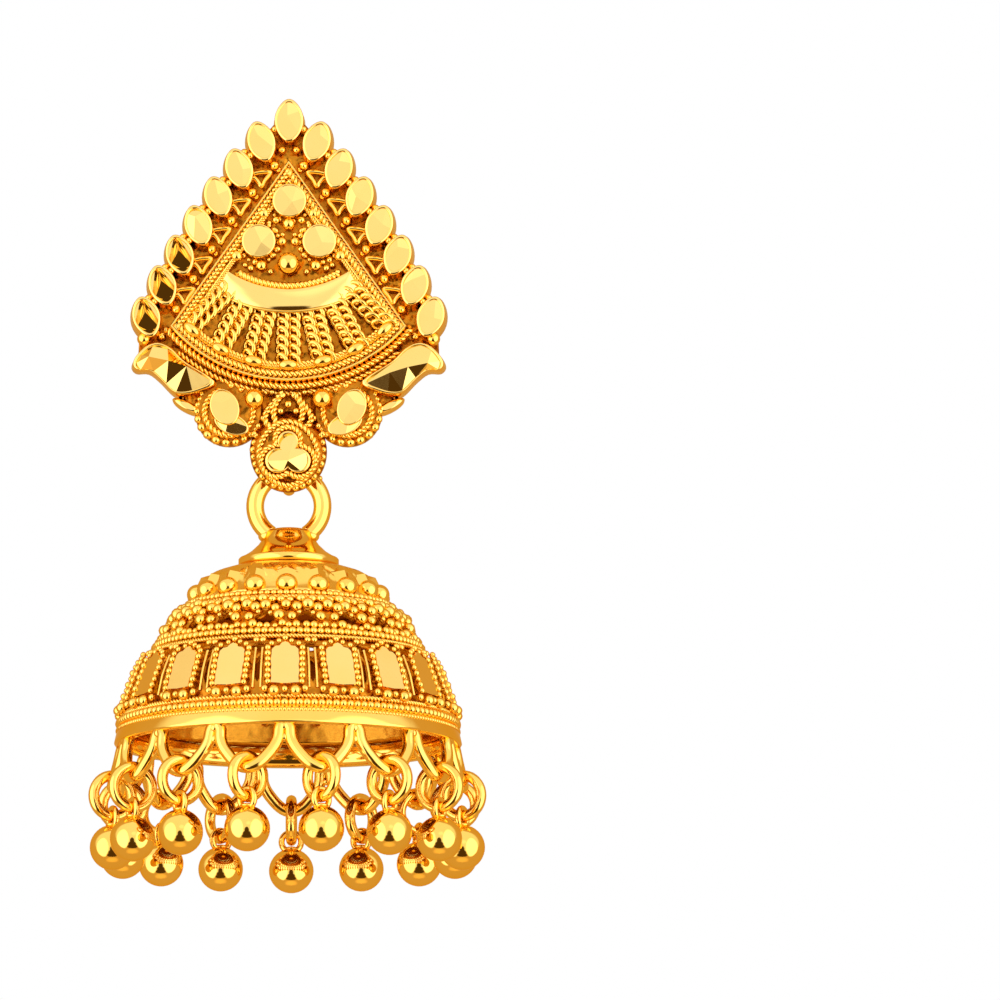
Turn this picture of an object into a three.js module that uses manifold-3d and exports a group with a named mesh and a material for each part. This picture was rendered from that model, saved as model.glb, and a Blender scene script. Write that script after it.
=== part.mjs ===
// A jhumka earring: a kite-shaped stud, and a bell-shaped drop that swings from the eye on its back.
// Millimetres, +Z up, the front faces -Y. The origin is the root of the ear post, on the flat back of the stud.
import * as THREE from "three";
import { mergeVertices } from "three/addons/utils/BufferGeometryUtils.js";
import Module from "manifold-3d";

const wasm = await Module();
wasm.setup();

// ---- Driving dimensions -------------------------------------------------------------------------------------
const PLATE = { thickness: 0.7, mouldingTop: 1.3 };
const PETAL = { length: 2.5, width: 1.64, base: 0.45, bezel: 2.05, peak: 2.3, lean: 17, flare: 1.1 };
const PETAL_ROW = { first: [1.62, 4.6], bend: [5.6, -0.16], last: [8.28, -5.8], perSide: 7 };
const TOP_PETAL = { x: 0, z: 5.84, scale: 1.1 };
const FAN = { apexZ: 3.43, cornerX: 6.9, cornerZ: -6.42, footZ: -9.65, floor: 2.0, rim: 2.4, rimWidth: 0.5 };
const BAND = { centreZ: 1.74, radius: 6.68, width: 1.33, halfAngle: 37, top: 2.75 };
const DISC = { radius: 0.95, bezel: 2.65, peak: 2.95, sides: 10 };
const FAN_BALL = { radius: 0.63, z: -2.76, depth: 2.35 };
const LEAF = { base: 0.45, bezel: 1.95, peak: 2.35 };
const SIDE_SCALLOP = { x: 3.45, z: -11.24, radius: 2.02, top: 1.55, lobeTop: 2.15 };
const CENTRE_SCALLOP = { z: -13.6, radiusX: 2.27, radiusZ: 2.4, back: 0.45, top: 1.6, trefoilZ: -14.4, trefoilTop: 2.35 };
const LOWER_BALL = { x: 1.98, z: -10.6, radius: 0.58, depth: 1.75 };
const OUTER_BALL = { x: 8.42, z: -7.0, radius: 0.4, depth: 1.3 };
const EYE = { radius: 1.2, wire: 0.38, bottomZ: -15.9 };

const LOOP = { radius: 1.97, wire: 0.52, play: 0.05 };
const DROP_Y = 0.9; // the drop hangs in this plane, just behind the stud
const CAP = { topZ: -17.9, topRadius: 1.35, bottomZ: -19.9, bottomRadius: 2.92 };
const WALL = 0.55;
const RIM = { topZ: -29.8, bottomZ: -30.65, radius: 10.12, inner: 9.2 };
const PLAQUE = { count: 18, topZ: -25.6, bottomZ: -28.35, topRadius: 8.3, bottomRadius: 9.4, width: 1.9, proud: 0.3 };
const SWAG = { count: 15, wire: 0.36, topRadius: 9.75, bottomRadius: 10.2, topZ: -30.35, bottomZ: -33.2, spread: 1.8 };
const JUMP_RING = { radius: 1.25, wire: 0.32, play: 0.04 };
const BEAD = { radius: 1.35, bailRadius: 0.58, bailWire: 0.18, bailRise: 0.36, play: 0.04 };

const POST = { radius: 0.45, length: 10.5, gap: 0.05, nutRadius: 2.7, nutFrom: 5.1, nutTo: 6.9, hub: 1.3, hubTo: 7.9 };

// ---- Solids -------------------------------------------------------------------------------------------------
const radians = THREE.MathUtils.degToRad;

// A closed geometry as a manifold-3d solid, so that it can be cut or joined.
function solidOf(geometry) {
  const bare = geometry.index ? geometry.toNonIndexed() : geometry.clone();
  bare.deleteAttribute("normal");
  bare.deleteAttribute("uv");
  const merged = mergeVertices(bare, 1e-4);
  return new wasm.Manifold(
    new wasm.Mesh({
      numProp: 3,
      vertProperties: merged.attributes.position.array,
      triVerts: new Uint32Array(merged.index.array),
    }),
  );
}

const join = (solids) => solids.reduce((whole, next) => whole.add(next));

function meshOf(name, solid, material) {
  const made = solid.getMesh();
  const geometry = new THREE.BufferGeometry()
    .setAttribute("position", new THREE.BufferAttribute(Float32Array.from(made.vertProperties), 3))
    .setIndex(new THREE.BufferAttribute(Uint32Array.from(made.triVerts), 1));
  geometry.computeVertexNormals();
  const mesh = new THREE.Mesh(geometry, material);
  mesh.name = name;
  return mesh;
}

// A closed solid through outlines of equally many [x, z] points, counter-clockwise from the front,
// each at its own depth in front of the stud's back.
function loft(rings) {
  const count = rings[0].outline.length;
  const points = rings.flatMap(({ outline, depth }) => outline.map(([x, z]) => [x, -depth, z]));
  const centre = ({ outline, depth, middle }) => {
    const [x, z] = middle ?? [0, 1].map((k) => outline.reduce((sum, p) => sum + p[k], 0) / count);
    return [x, -depth, z];
  };
  const back = points.push(centre(rings[0])) - 1;
  const front = rings.at(-1);
  const frontCentre = centre({ ...front, depth: front.peak ?? front.depth });
  const peak = points.push(frontCentre) - 1;
  const faces = [];
  for (let i = 0; i < count; i++) {
    const j = (i + 1) % count;
    faces.push([back, j, i]);
    for (let k = 0; k + 1 < rings.length; k++) {
      const [a, b] = [k * count, (k + 1) * count];
      faces.push([a + i, a + j, b + j], [a + i, b + j, b + i]);
    }
    const last = (rings.length - 1) * count;
    faces.push([peak, last + i, last + j]);
  }
  const geometry = new THREE.BufferGeometry()
    .setAttribute("position", new THREE.Float32BufferAttribute(points.flat(), 3))
    .setIndex(faces.flat());
  return solidOf(geometry);
}

// A flat outline of [x, z] points as a plate from one depth to another.
function slab(outline, from, to) {
  const shape = new THREE.Shape(outline.map(([x, z]) => new THREE.Vector2(x, z)));
  const geometry = new THREE.ExtrudeGeometry(shape, { depth: to - from, bevelEnabled: false });
  return solidOf(geometry.rotateX(Math.PI / 2).translate(0, -from, 0));
}

const ball = (x, depth, z, radius, sides = 10) =>
  solidOf(new THREE.SphereGeometry(radius, sides, Math.round(sides * 0.7)).translate(x, -depth, z));

const mirrored = (outline) => outline.map(([x, z]) => [-x, z]).reverse();

// An oval outline, turned so that its long axis leans by lean degrees to the right.
function oval({ x, z, length, width, lean = 0, sides = 12, point = 0 }) {
  const turn = radians(lean);
  return Array.from({ length: sides }, (_, i) => {
    const a = (i / sides) * 2 * Math.PI;
    const across = (Math.cos(a) * width) / 2 * (1 - point * Math.sin(a) ** 2);
    const along = (Math.sin(a) * length) / 2;
    return [x + across * Math.cos(turn) + along * Math.sin(turn), z - across * Math.sin(turn) + along * Math.cos(turn)];
  });
}

// The same outline made larger or smaller about its middle.
function scaled(outline, factor) {
  const [cx, cz] = [0, 1].map((k) => outline.reduce((sum, p) => sum + p[k], 0) / outline.length);
  return outline.map(([x, z]) => [cx + (x - cx) * factor, cz + (z - cz) * factor]);
}

// ---- Stud ---------------------------------------------------------------------------------------------------
// Places of the petals on the right side, evenly spaced along a gentle curve.
function petalPlaces() {
  const [a, b, c] = [PETAL_ROW.first, PETAL_ROW.bend, PETAL_ROW.last].map((p) => new THREE.Vector2(...p));
  const curve = new THREE.QuadraticBezierCurve(a, b, c);
  return Array.from({ length: PETAL_ROW.perSide }, (_, i) => curve.getPoint(i / (PETAL_ROW.perSide - 1)));
}

// One navette petal: a flared wall, a flat bezel and a low pyramid of facets.
function petal(x, z, lean, scale = 1) {
  const size = { x, z, length: PETAL.length * scale, width: PETAL.width * scale, lean, point: 0.18, sides: 10 };
  const bezel = oval(size);
  return loft([
    { outline: scaled(bezel, PETAL.flare), depth: PETAL.base },
    { outline: bezel, depth: PETAL.bezel, peak: PETAL.peak },
  ]);
}

function petals() {
  const places = petalPlaces();
  const pair = ({ x, y }) => [petal(x, y, PETAL.lean), petal(-x, y, -PETAL.lean)];
  return join([petal(TOP_PETAL.x, TOP_PETAL.z, 0, TOP_PETAL.scale), ...places.flatMap(pair)]);
}

// The flat back of the stud, with the petals, leaves and scallops standing on its edge.
function backPlate() {
  const edge = petalPlaces().map((p) => [p.x + 0.3, p.y + 0.1]);
  const right = [[0.35, 6.5], ...edge, [8.75, -7.0], [8.8, -8.3], [8.1, -8.8], [7.3, -9.4], [6.4, -10.3], [5.6, -10.85]];
  const outline = [...right, [4.6, -11.4], [1.5, -12.5]];
  const whole = [...outline, ...mirrored(outline)].reverse();
  const scallop = (sign) => slab(sideScallopOutline(sign), 0, PLATE.mouldingTop);
  return join([slab(whole, 0, PLATE.thickness), scallop(1), scallop(-1), slab(centreScallopOutline(), CENTRE_SCALLOP.back, CENTRE_SCALLOP.top)]);
}

const sideScallopOutline = (sign) =>
  oval({ x: sign * SIDE_SCALLOP.x, z: SIDE_SCALLOP.z, length: 2 * SIDE_SCALLOP.radius, width: 2 * SIDE_SCALLOP.radius, sides: 18 });

const centreScallopOutline = () =>
  oval({ x: 0, z: CENTRE_SCALLOP.z, length: 2 * CENTRE_SCALLOP.radiusZ, width: 2 * CENTRE_SCALLOP.radiusX, sides: 20 });

// The fan's outline: two straight sides from the apex and a round foot, set in by inset all round.
function fanOutline(inset = 0) {
  const { apexZ, cornerX, cornerZ, footZ } = FAN;
  const sagitta = cornerZ - footZ;
  const footRadius = (cornerX ** 2 + sagitta ** 2) / (2 * sagitta);
  const centreZ = footZ + footRadius;
  const halfAngle = Math.atan2(cornerX, apexZ - cornerZ);
  const radius = footRadius - inset;
  const apex = apexZ - inset / Math.sin(halfAngle);
  const side = (sin) => (apex - (centreZ - Math.sqrt(Math.max(radius ** 2 - sin ** 2, 0)))) * Math.tan(halfAngle);
  let x = cornerX;
  for (let k = 0; k < 40; k++) x = (x + side(x)) / 2; // the corner is where the side meets the foot
  const reach = Math.asin(x / radius);
  const foot = Array.from({ length: 13 }, (_, i) => {
    const a = -reach + (2 * reach * i) / 12;
    return [radius * Math.sin(a), centreZ - radius * Math.cos(a)];
  });
  return [...foot, [0, apex]];
}

// A raised box whose floor lies a little below its rim, with the plain curved band across it.
function fan() {
  const rimmed = slab(fanOutline(), PLATE.thickness - 0.2, FAN.rim);
  const floor = slab(fanOutline(FAN.rimWidth), FAN.floor, FAN.rim + 1);
  const moulding = slab(fanOutline(-0.35), PLATE.thickness - 0.2, PLATE.mouldingTop);
  const arc = (radius) =>
    Array.from({ length: 11 }, (_, i) => {
      const a = radians(BAND.halfAngle) * (i / 5 - 1);
      return [radius * Math.sin(a), BAND.centreZ - radius * Math.cos(a)];
    });
  const half = BAND.width / 2;
  const band = slab([...arc(BAND.radius + half), ...arc(BAND.radius - half).reverse()], FAN.floor - 0.2, BAND.top);
  return join([rimmed.subtract(floor), moulding, band]);
}

// The round faceted discs in the point of the fan, and the ball below them.
function fanJewels() {
  const disc = ([x, z]) => {
    const outline = oval({ x, z, length: 2 * DISC.radius, width: 2 * DISC.radius, sides: DISC.sides });
    return loft([
      { outline, depth: FAN.floor - 0.2 },
      { outline, depth: DISC.bezel, peak: DISC.peak },
    ]);
  };
  const discs = [[0, 0.92], [-1.74, -1.45], [1.74, -1.45]].map(disc);
  return join([...discs, ball(0, FAN_BALL.depth, FAN_BALL.z, FAN_BALL.radius, 12)]);
}

// The wing-shaped leaf under the last petal, with a ridge along its length.
function leaf(sign) {
  const right = [
    [4.3, -9.61], [5.2, -10.18], [6.12, -10.37], [6.75, -10.18], [7.45, -9.47], [8.08, -8.98], [8.71, -8.95],
    [9.03, -8.62], [8.85, -8.12], [8.3, -7.56], [7.6, -7.34], [6.82, -7.67], [5.98, -8.48],
  ];
  const outline = sign > 0 ? right : mirrored(right);
  return loft([
    { outline, depth: LEAF.base },
    { outline: scaled(outline, 0.97), depth: LEAF.bezel, peak: LEAF.peak, middle: [sign * 7.0, -8.9] },
  ]);
}

// Two faceted lobes set on each side scallop.
function sideLobes(sign) {
  const lobes = [
    { dx: 0.25, dz: 0.12, length: 1.85, width: 1.45, lean: 18 },
    { dx: -0.3, dz: -0.65, length: 1.2, width: 1.95, lean: -18 },
  ];
  return lobes.map(({ dx, dz, length, width, lean }) => {
    const at = { x: sign * (SIDE_SCALLOP.x + dx), z: SIDE_SCALLOP.z + dz };
    const outline = oval({ ...at, length, width, lean: sign * lean, sides: 10 });
    return loft([
      { outline, depth: PLATE.thickness },
      { outline, depth: SIDE_SCALLOP.top, peak: SIDE_SCALLOP.lobeTop },
    ]);
  });
}

// The three-lobed faceted piece on the centre scallop.
function trefoil() {
  const lobes = [
    { x: 0, z: 1.05, length: 1.5, width: 1.2 },
    { x: 0.62, z: -0.1, length: 1.7, width: 1.35 },
    { x: -0.62, z: -0.1, length: 1.7, width: 1.35 },
  ];
  return lobes.map(({ x, z, length, width }) => {
    const outline = oval({ x, z: CENTRE_SCALLOP.trefoilZ + z, length, width, sides: 10 });
    return loft([
      { outline, depth: PLATE.thickness },
      { outline, depth: CENTRE_SCALLOP.trefoilTop - 0.2, peak: CENTRE_SCALLOP.trefoilTop },
    ]);
  });
}

const eyeZ = EYE.bottomZ + EYE.wire + EYE.radius;

// The eye soldered behind the centre scallop, which the drop's loop hangs in.
const eye = () =>
  solidOf(new THREE.TorusGeometry(EYE.radius, EYE.wire, 8, 20).rotateY(Math.PI / 2).translate(0, DROP_Y, eyeZ));

function stud() {
  const sides = [1, -1];
  return join([
    backPlate(),
    petals(),
    fan(),
    fanJewels(),
    ...sides.map(leaf),
    ...sides.flatMap(sideLobes),
    ...trefoil(),
    ...sides.map((s) => ball(s * LOWER_BALL.x, LOWER_BALL.depth, LOWER_BALL.z, LOWER_BALL.radius)),
    ...sides.map((s) => ball(s * OUTER_BALL.x, OUTER_BALL.depth, OUTER_BALL.z, OUTER_BALL.radius, 8)),
    eye(),
  ]);
}

// The plain post that goes through the ear, with its screw back run on.
function earPost() {
  const { radius, length, gap, nutRadius, nutFrom, nutTo, hub, hubTo } = POST;
  const profile = [
    [0, gap], [radius, gap], [radius, nutFrom], [nutRadius - 0.25, nutFrom], [nutRadius, nutFrom + 0.3],
    [nutRadius, nutTo - 0.3], [nutRadius - 0.25, nutTo], [hub, nutTo], [hub, hubTo], [radius, hubTo], [radius, length], [0, length],
  ];
  return solidOf(new THREE.LatheGeometry(profile.map(([r, y]) => new THREE.Vector2(r, y)), 20));
}

// ---- Drop ---------------------------------------------------------------------------------------------------
const loopZ = EYE.bottomZ + 2 * EYE.wire + LOOP.play + LOOP.wire - LOOP.radius;

// The outside of the bell from under its cap down to the rim, as [radius, z], and its two raised rings.
const BELL = [
  [4.1, -20.5], [4.85, -21.3], [5.45, -22.05], [6.15, -22.85], [6.85, -23.75], [7.35, -24.6],
  [7.75, -25.2], [8.25, -25.75], [8.75, -26.6], [9.15, -27.6], [9.4, -28.6], [9.5, -29.2],
];
const UPPER_RING = [[7.35, -24.7], [7.72, -24.8], [7.72, -25.1], [7.6, -25.2]];
const LOWER_RING = [[9.6, -29.2], [10.0, -29.35], [10.0, -29.6], [9.8, -29.7]];

const turned = (profile, segments) =>
  solidOf(
    new THREE.LatheGeometry(profile.map(([r, z]) => new THREE.Vector2(r, z)), segments)
      .rotateX(Math.PI / 2)
      .translate(0, DROP_Y, 0),
  );

// The hollow bell with its cap on top and its round rim below, in one turned wall.
function bell() {
  const upper = BELL.slice(0, 6);
  const lower = BELL.slice(6, -1);
  const inside = BELL.map(([r, z]) => [r - WALL, z - 0.1]).reverse();
  const rim = [
    [RIM.radius - 0.2, RIM.topZ], [RIM.radius, RIM.topZ - 0.25], [RIM.radius, RIM.bottomZ + 0.2],
    [RIM.radius - 0.2, RIM.bottomZ], [RIM.inner, RIM.bottomZ], [RIM.inner, RIM.topZ - 0.1],
  ];
  const cap = [
    [0, CAP.topZ], [CAP.topRadius, CAP.topZ], [1.5, -18.8], [2.05, -19.35],
    [CAP.bottomRadius, CAP.bottomZ + 0.12], [CAP.bottomRadius, CAP.bottomZ],
  ];
  const outside = [...cap, ...upper, ...UPPER_RING, ...lower, ...LOWER_RING];
  return turned([...outside, ...rim, ...inside, [0, BELL[0][1] - 0.4]].reverse(), 40);
}

// The upright polished plaques that stand round the bell.
function plaques() {
  const { count, topZ, bottomZ, topRadius, bottomRadius, width, proud } = PLAQUE;
  return Array.from({ length: count }, (_, i) => {
    const w = width / 2;
    const outline = [[-w, bottomZ], [w, bottomZ], [w, topZ - 0.3], [0, topZ], [-w, topZ - 0.3]];
    const depthAt = (z, out) => topRadius + ((topZ - z) / (topZ - bottomZ)) * (bottomRadius - topRadius) + out;
    const points = [-WALL / 2, proud].flatMap((out) => outline.map(([x, z]) => [x, -depthAt(z, out), z]));
    const n = outline.length;
    const faces = [];
    for (let k = 1; k + 1 < n; k++) faces.push([0, k + 1, k], [n, n + k, n + k + 1]);
    for (let k = 0; k < n; k++) {
      const next = (k + 1) % n;
      faces.push([k, next, n + next], [k, n + next, n + k]);
    }
    const geometry = new THREE.BufferGeometry()
      .setAttribute("position", new THREE.Float32BufferAttribute(points.flat(), 3))
      .setIndex(faces.flat());
    return solidOf(geometry.rotateZ((i / count) * 2 * Math.PI).translate(0, DROP_Y, 0));
  });
}

// The stout loop on the cap, a ring whose foot is sunk in the cap's neck.
const loop = () =>
  solidOf(new THREE.TorusGeometry(LOOP.radius, LOOP.wire, 8, 24).rotateX(Math.PI / 2).translate(0, DROP_Y, loopZ));

// A wire of round section bent along a curve.
function wire(curve, radius, steps, sides = 6) {
  const section = new THREE.Shape(
    Array.from({ length: sides }, (_, i) => {
      const a = (i / sides) * 2 * Math.PI;
      return new THREE.Vector2(radius * Math.cos(a), radius * Math.sin(a));
    }),
  );
  return solidOf(new THREE.ExtrudeGeometry(section, { steps, extrudePath: curve, bevelEnabled: false }));
}

// One hanging swag: a wire soldered under the rim at both ends, sagging in a U between them.
function swag(turn) {
  const { wire: radius, topRadius, bottomRadius, topZ, bottomZ, spread } = SWAG;
  const corner = (x, z, out) => new THREE.Vector3(x, -out, z);
  const down = [corner(-spread, topZ, topRadius), corner(-spread, topZ - 1.5, topRadius + 0.1)];
  const low = corner(-0.95, bottomZ, bottomRadius);
  const foot = corner(0, bottomZ, bottomRadius);
  const flip = (p) => new THREE.Vector3(-p.x, p.y, p.z);
  const path = new THREE.CurvePath();
  path.add(new THREE.CubicBezierCurve3(down[0], down[1], low, foot));
  path.add(new THREE.CubicBezierCurve3(foot, flip(low), flip(down[1]), flip(down[0])));
  const shaped = new THREE.CatmullRomCurve3(path.getSpacedPoints(10));
  const made = wire(shaped, radius, 9, 5);
  return made.rotate([0, 0, THREE.MathUtils.radToDeg(turn)]).translate([0, DROP_Y, 0]);
}

// How far round from the front the i-th swag hangs, in radians: a soldered point faces the front.
const swagTurn = (i) => ((i + 0.5) / SWAG.count) * 2 * Math.PI;

// How far a jump ring is turned from the radial plane: most at the front, and mirrored left to right.
function ringTwist(i) {
  const turn = swagTurn(i);
  const side = Math.sin(turn) >= 0 ? 1 : -1;
  const front = Math.max(Math.cos(turn), 0);
  return Math.abs(Math.sin(turn)) < 1e-6 ? 0 : side * radians(32) * front - side * radians(25) * (1 - front) * Math.abs(Math.sin(turn));
}

const ringZ = SWAG.bottomZ + SWAG.wire + JUMP_RING.wire + JUMP_RING.play - JUMP_RING.radius;
const bailZ = ringZ - JUMP_RING.radius + JUMP_RING.wire + BEAD.play + BEAD.bailWire - BEAD.bailRadius;
const beadZ = bailZ - BEAD.bailRise - BEAD.radius;

function jumpRing() {
  return solidOf(new THREE.TorusGeometry(JUMP_RING.radius, JUMP_RING.wire, 5, 14).rotateX(Math.PI / 2).rotateZ(Math.PI / 2));
}

// A round bead with a small wire bail soldered on top; its origin is the middle of the jump ring above it.
function beadDrop() {
  const bead = new THREE.SphereGeometry(BEAD.radius, 10, 7).rotateX(Math.PI / 2).translate(0, 0, beadZ - ringZ);
  const bail = new THREE.TorusGeometry(BEAD.bailRadius, BEAD.bailWire, 5, 10).rotateX(Math.PI / 2).translate(0, 0, bailZ - ringZ);
  return solidOf(bead).add(solidOf(bail));
}

// ---- Assembly -----------------------------------------------------------------------------------------------
const gold = new THREE.MeshStandardMaterial({ color: 0xf2b632, roughness: 0.2, metalness: 1 });
const plainGold = new THREE.MeshStandardMaterial({ color: 0xe0a52c, roughness: 0.3, metalness: 1 });

const earring = new THREE.Group();
earring.add(meshOf("stud", stud(), gold), meshOf("ear_post", earPost(), plainGold));
const swags = Array.from({ length: SWAG.count }, (_, i) => swag(swagTurn(i)));
earring.add(meshOf("bell", join([bell(), loop(), ...plaques(), ...swags]), gold));

const [ringSolid, beadSolid] = [jumpRing(), beadDrop()];
for (let i = 0; i < SWAG.count; i++) {
  const turn = swagTurn(i);
  const hung = new THREE.Group();
  hung.position.set(SWAG.bottomRadius * Math.sin(turn), DROP_Y - SWAG.bottomRadius * Math.cos(turn), ringZ);
  hung.rotation.z = turn + ringTwist(i);
  const number = String(i + 1).padStart(2, "0");
  hung.add(meshOf(`jump_ring_${number}`, ringSolid, gold), meshOf(`bead_drop_${number}`, beadSolid, gold));
  earring.add(hung);
}

export default earring;
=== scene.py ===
# %% [markdown]
# # A jhumka earring in yellow gold
# A jhumka is a bell-shaped earring from South Asia. This one has a kite-shaped stud, and a bell that hangs
# from an eye behind it, fringed with gold beads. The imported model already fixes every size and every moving
# part. This script only makes the surfaces: cut facets, twisted wires, chains and hundreds of granules.

import math

import bmesh
import bpy
from mathutils import Matrix, Vector


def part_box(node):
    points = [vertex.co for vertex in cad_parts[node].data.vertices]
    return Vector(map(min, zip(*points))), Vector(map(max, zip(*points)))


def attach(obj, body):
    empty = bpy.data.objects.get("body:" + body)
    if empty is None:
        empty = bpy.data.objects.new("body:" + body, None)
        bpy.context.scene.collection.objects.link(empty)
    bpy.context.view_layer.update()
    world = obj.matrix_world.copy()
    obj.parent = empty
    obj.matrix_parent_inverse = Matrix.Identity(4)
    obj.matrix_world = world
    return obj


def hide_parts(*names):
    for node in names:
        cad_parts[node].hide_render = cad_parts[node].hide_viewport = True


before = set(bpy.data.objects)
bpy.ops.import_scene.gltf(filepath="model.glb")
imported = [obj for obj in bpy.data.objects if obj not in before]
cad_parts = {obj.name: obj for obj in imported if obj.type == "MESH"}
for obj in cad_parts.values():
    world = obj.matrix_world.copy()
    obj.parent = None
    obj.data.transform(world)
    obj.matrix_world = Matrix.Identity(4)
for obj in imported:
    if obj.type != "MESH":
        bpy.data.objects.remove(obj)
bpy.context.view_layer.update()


# %% [markdown]
# ## Measures
# Jewellers work in millimetres, so the shapes below are drawn in millimetres and shrunk to metres at the end.
# Where the bell hangs, where its jump rings and beads hang, and how big the rings are, is read from the frame,
# so these can't drift from it.

# %% Measures from the frame
MM = 0.001


def box_mm(node):
    """The lowest and highest corner of a node of the frame, in millimetres."""
    low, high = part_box(node)
    return Vector(low) / MM, Vector(high) / MM


bell_low, bell_high = box_mm("bell")
AXIS = Vector(((bell_low.x + bell_high.x) / 2, (bell_low.y + bell_high.y) / 2, 0))
RING_NODES = [f"jump_ring_{i:02d}" for i in range(1, 16)]
BEAD_NODES = [f"bead_drop_{i:02d}" for i in range(1, 16)]
DROPS = len(RING_NODES)
ring_centres = [(low + high) / 2 for low, high in map(box_mm, RING_NODES)]
DROP_CIRCLE = sum((centre - AXIS).xy.length for centre in ring_centres) / DROPS
RING_Z = ring_centres[0].z
RING_RADIUS = (box_mm("jump_ring_01")[1].z - box_mm("jump_ring_01")[0].z) / 2
BEAD_LOW = box_mm("bead_drop_01")[0].z
print(f"axis {AXIS.x:.2f} {AXIS.y:.2f}, drops on a circle of {DROP_CIRCLE:.2f} mm, rings {RING_RADIUS:.2f} mm")


# %% [markdown]
# ## Building blocks
# One small function adds a node to any tree, with its settings, values and links, so that each tree below
# reads as a list of what it does. Another makes a finish or a shape into a proper piece of the earring.

# %% Nodes
def add_node(tree, kind, inputs=None, **settings):
    """Add a node. inputs maps a socket's name or number to a value, or to the socket that feeds it."""
    node = tree.nodes.new(kind)
    for name, value in settings.items():
        setattr(node, name, value)
    for key, value in (inputs or {}).items():
        if isinstance(value, bpy.types.NodeSocket):
            tree.links.new(value, node.inputs[key])
        else:
            node.inputs[key].default_value = value
    return node


def linear(hex_colour):
    """A colour written as sRGB hex, such as FFDE80, as the linear values that Blender mixes."""
    srgb = [int(hex_colour[i:i + 2], 16) / 255 for i in (0, 2, 4)]
    return [c / 12.92 if c <= 0.04045 else ((c + 0.055) / 1.055) ** 2.4 for c in srgb] + [1.0]


# %% [markdown]
# ## Finishes
# The metal is 22 carat gold throughout, and every finish keeps the default IOR of a metal. What differs is how
# the surface was made. A burnished wire is smooth with a slow waviness, a cut facet is nearly a mirror with
# fine tool lines, a granule melted into a ball has a fine skin, and a pressed sheet is a little grainy. Light
# that bounces between two gold walls is coloured twice, so gold looks orange in its hollows. On top of that,
# the finishes behind the ornament and inside the bell are painted shade: they start from a deeper and redder
# gold.

# %% Gold finishes
GOLD = "FFD976"
WARM_GOLD = "FFCC5A"
# The ground's deeper gold is painted shade for the recesses behind the ornament.
GROUND_SHADE_GOLD = "DE9226"


def gold_finish(name, roughness, grain_mm, grain_depth_mm, wave_mm=1.6, wave_depth_mm=0.0, tool_lines=0.0,
                colours=(GOLD, WARM_GOLD)):
    """Solid 22 carat gold. Sizes are in millimetres: a grain, a slow wave, and the depth of each."""
    material = bpy.data.materials.new(name)
    material.use_nodes = True
    tree = material.node_tree
    tree.nodes.clear()
    where = add_node(tree, "ShaderNodeTexCoord").outputs["Object"]
    patches = add_node(tree, "ShaderNodeTexNoise", {"Vector": where, "Scale": 1 / (2.5 * MM), "Detail": 3.0})
    tint = add_node(tree, "ShaderNodeMix", {0: patches.outputs["Fac"]}, data_type="RGBA")
    tint.inputs[6].default_value = linear(colours[0])
    tint.inputs[7].default_value = linear(colours[1])
    polish = add_node(tree, "ShaderNodeMapRange", {
        "Value": patches.outputs["Fac"], "From Min": 0.3, "From Max": 0.7,
        "To Min": roughness * 0.8, "To Max": roughness * 1.25})
    grain = add_node(tree, "ShaderNodeTexNoise", {"Vector": where, "Scale": 1 / (grain_mm * MM), "Detail": 2.0})
    bump = add_node(tree, "ShaderNodeBump", {
        "Height": grain.outputs["Fac"], "Distance": grain_depth_mm * MM, "Strength": 1.0})
    if wave_depth_mm:
        wave = add_node(tree, "ShaderNodeTexNoise", {
            "Vector": where, "Scale": 1 / (wave_mm * MM), "Detail": 1.0})
        bump = add_node(tree, "ShaderNodeBump", {
            "Height": wave.outputs["Fac"], "Distance": wave_depth_mm * MM, "Normal": bump.outputs["Normal"]})
    if tool_lines:
        lines = add_node(tree, "ShaderNodeTexWave", {
            "Vector": where, "Scale": 1 / (0.9 * MM), "Distortion": 1.5, "Detail": 1.0},
            bands_direction="DIAGONAL")
        bump = add_node(tree, "ShaderNodeBump", {
            "Height": lines.outputs["Fac"], "Distance": tool_lines * MM, "Normal": bump.outputs["Normal"]})
    shader = add_node(tree, "ShaderNodeBsdfPrincipled", {
        "Base Color": tint.outputs[2], "Metallic": 1.0, "Roughness": polish.outputs["Result"],
        "Specular Tint": linear("FFE6AC"), "Normal": bump.outputs["Normal"]})
    add_node(tree, "ShaderNodeOutputMaterial", {"Surface": shader.outputs["BSDF"]})
    return material


# Burnished wire and balls: clear reflections that swim a little.
burnished_gold = gold_finish("burnished_gold", 0.075, 0.5, 0.0012, wave_mm=1.4, wave_depth_mm=0.012)
# Diamond-cut faces: flat, very bright, with the faintest lines from the cutter.
cut_gold = gold_finish("diamond_cut_gold", 0.06, 0.8, 0.0006, tool_lines=0.0001, colours=("FFDC88", "FFD475"))
# Granules and twisted wire: small, round and a touch softer, so each catches one highlight.
granule_gold = gold_finish("fused_granule_gold", 0.09, 0.25, 0.002)
# Pressed sheet: the plate, the bell's wall and the collar, slightly hammered and grainy.
pressed_gold = gold_finish("pressed_sheet_gold", 0.15, 0.3, 0.004, wave_mm=1.1, wave_depth_mm=0.05)
# The ground behind the ornament is never polished, and its deeper, reddish gold is painted shade for the gaps
# between parts.
shaded_ground_gold = gold_finish("painted_shade_ground_gold", 0.27, 0.22, 0.012, wave_mm=0.7, wave_depth_mm=0.22,
                          colours=(GROUND_SHADE_GOLD, "8E4A0C"))
# The inside of the bell near its mouth is painted half shade, an orange gold bright enough to see by, with the
# soft dents of the hammer.
inside_gold = gold_finish("hammered_half_shade_inside_gold", 0.22, 0.25, 0.006, wave_mm=1.2, wave_depth_mm=0.14,
                          colours=("EFB040", "C4841F"))
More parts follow.
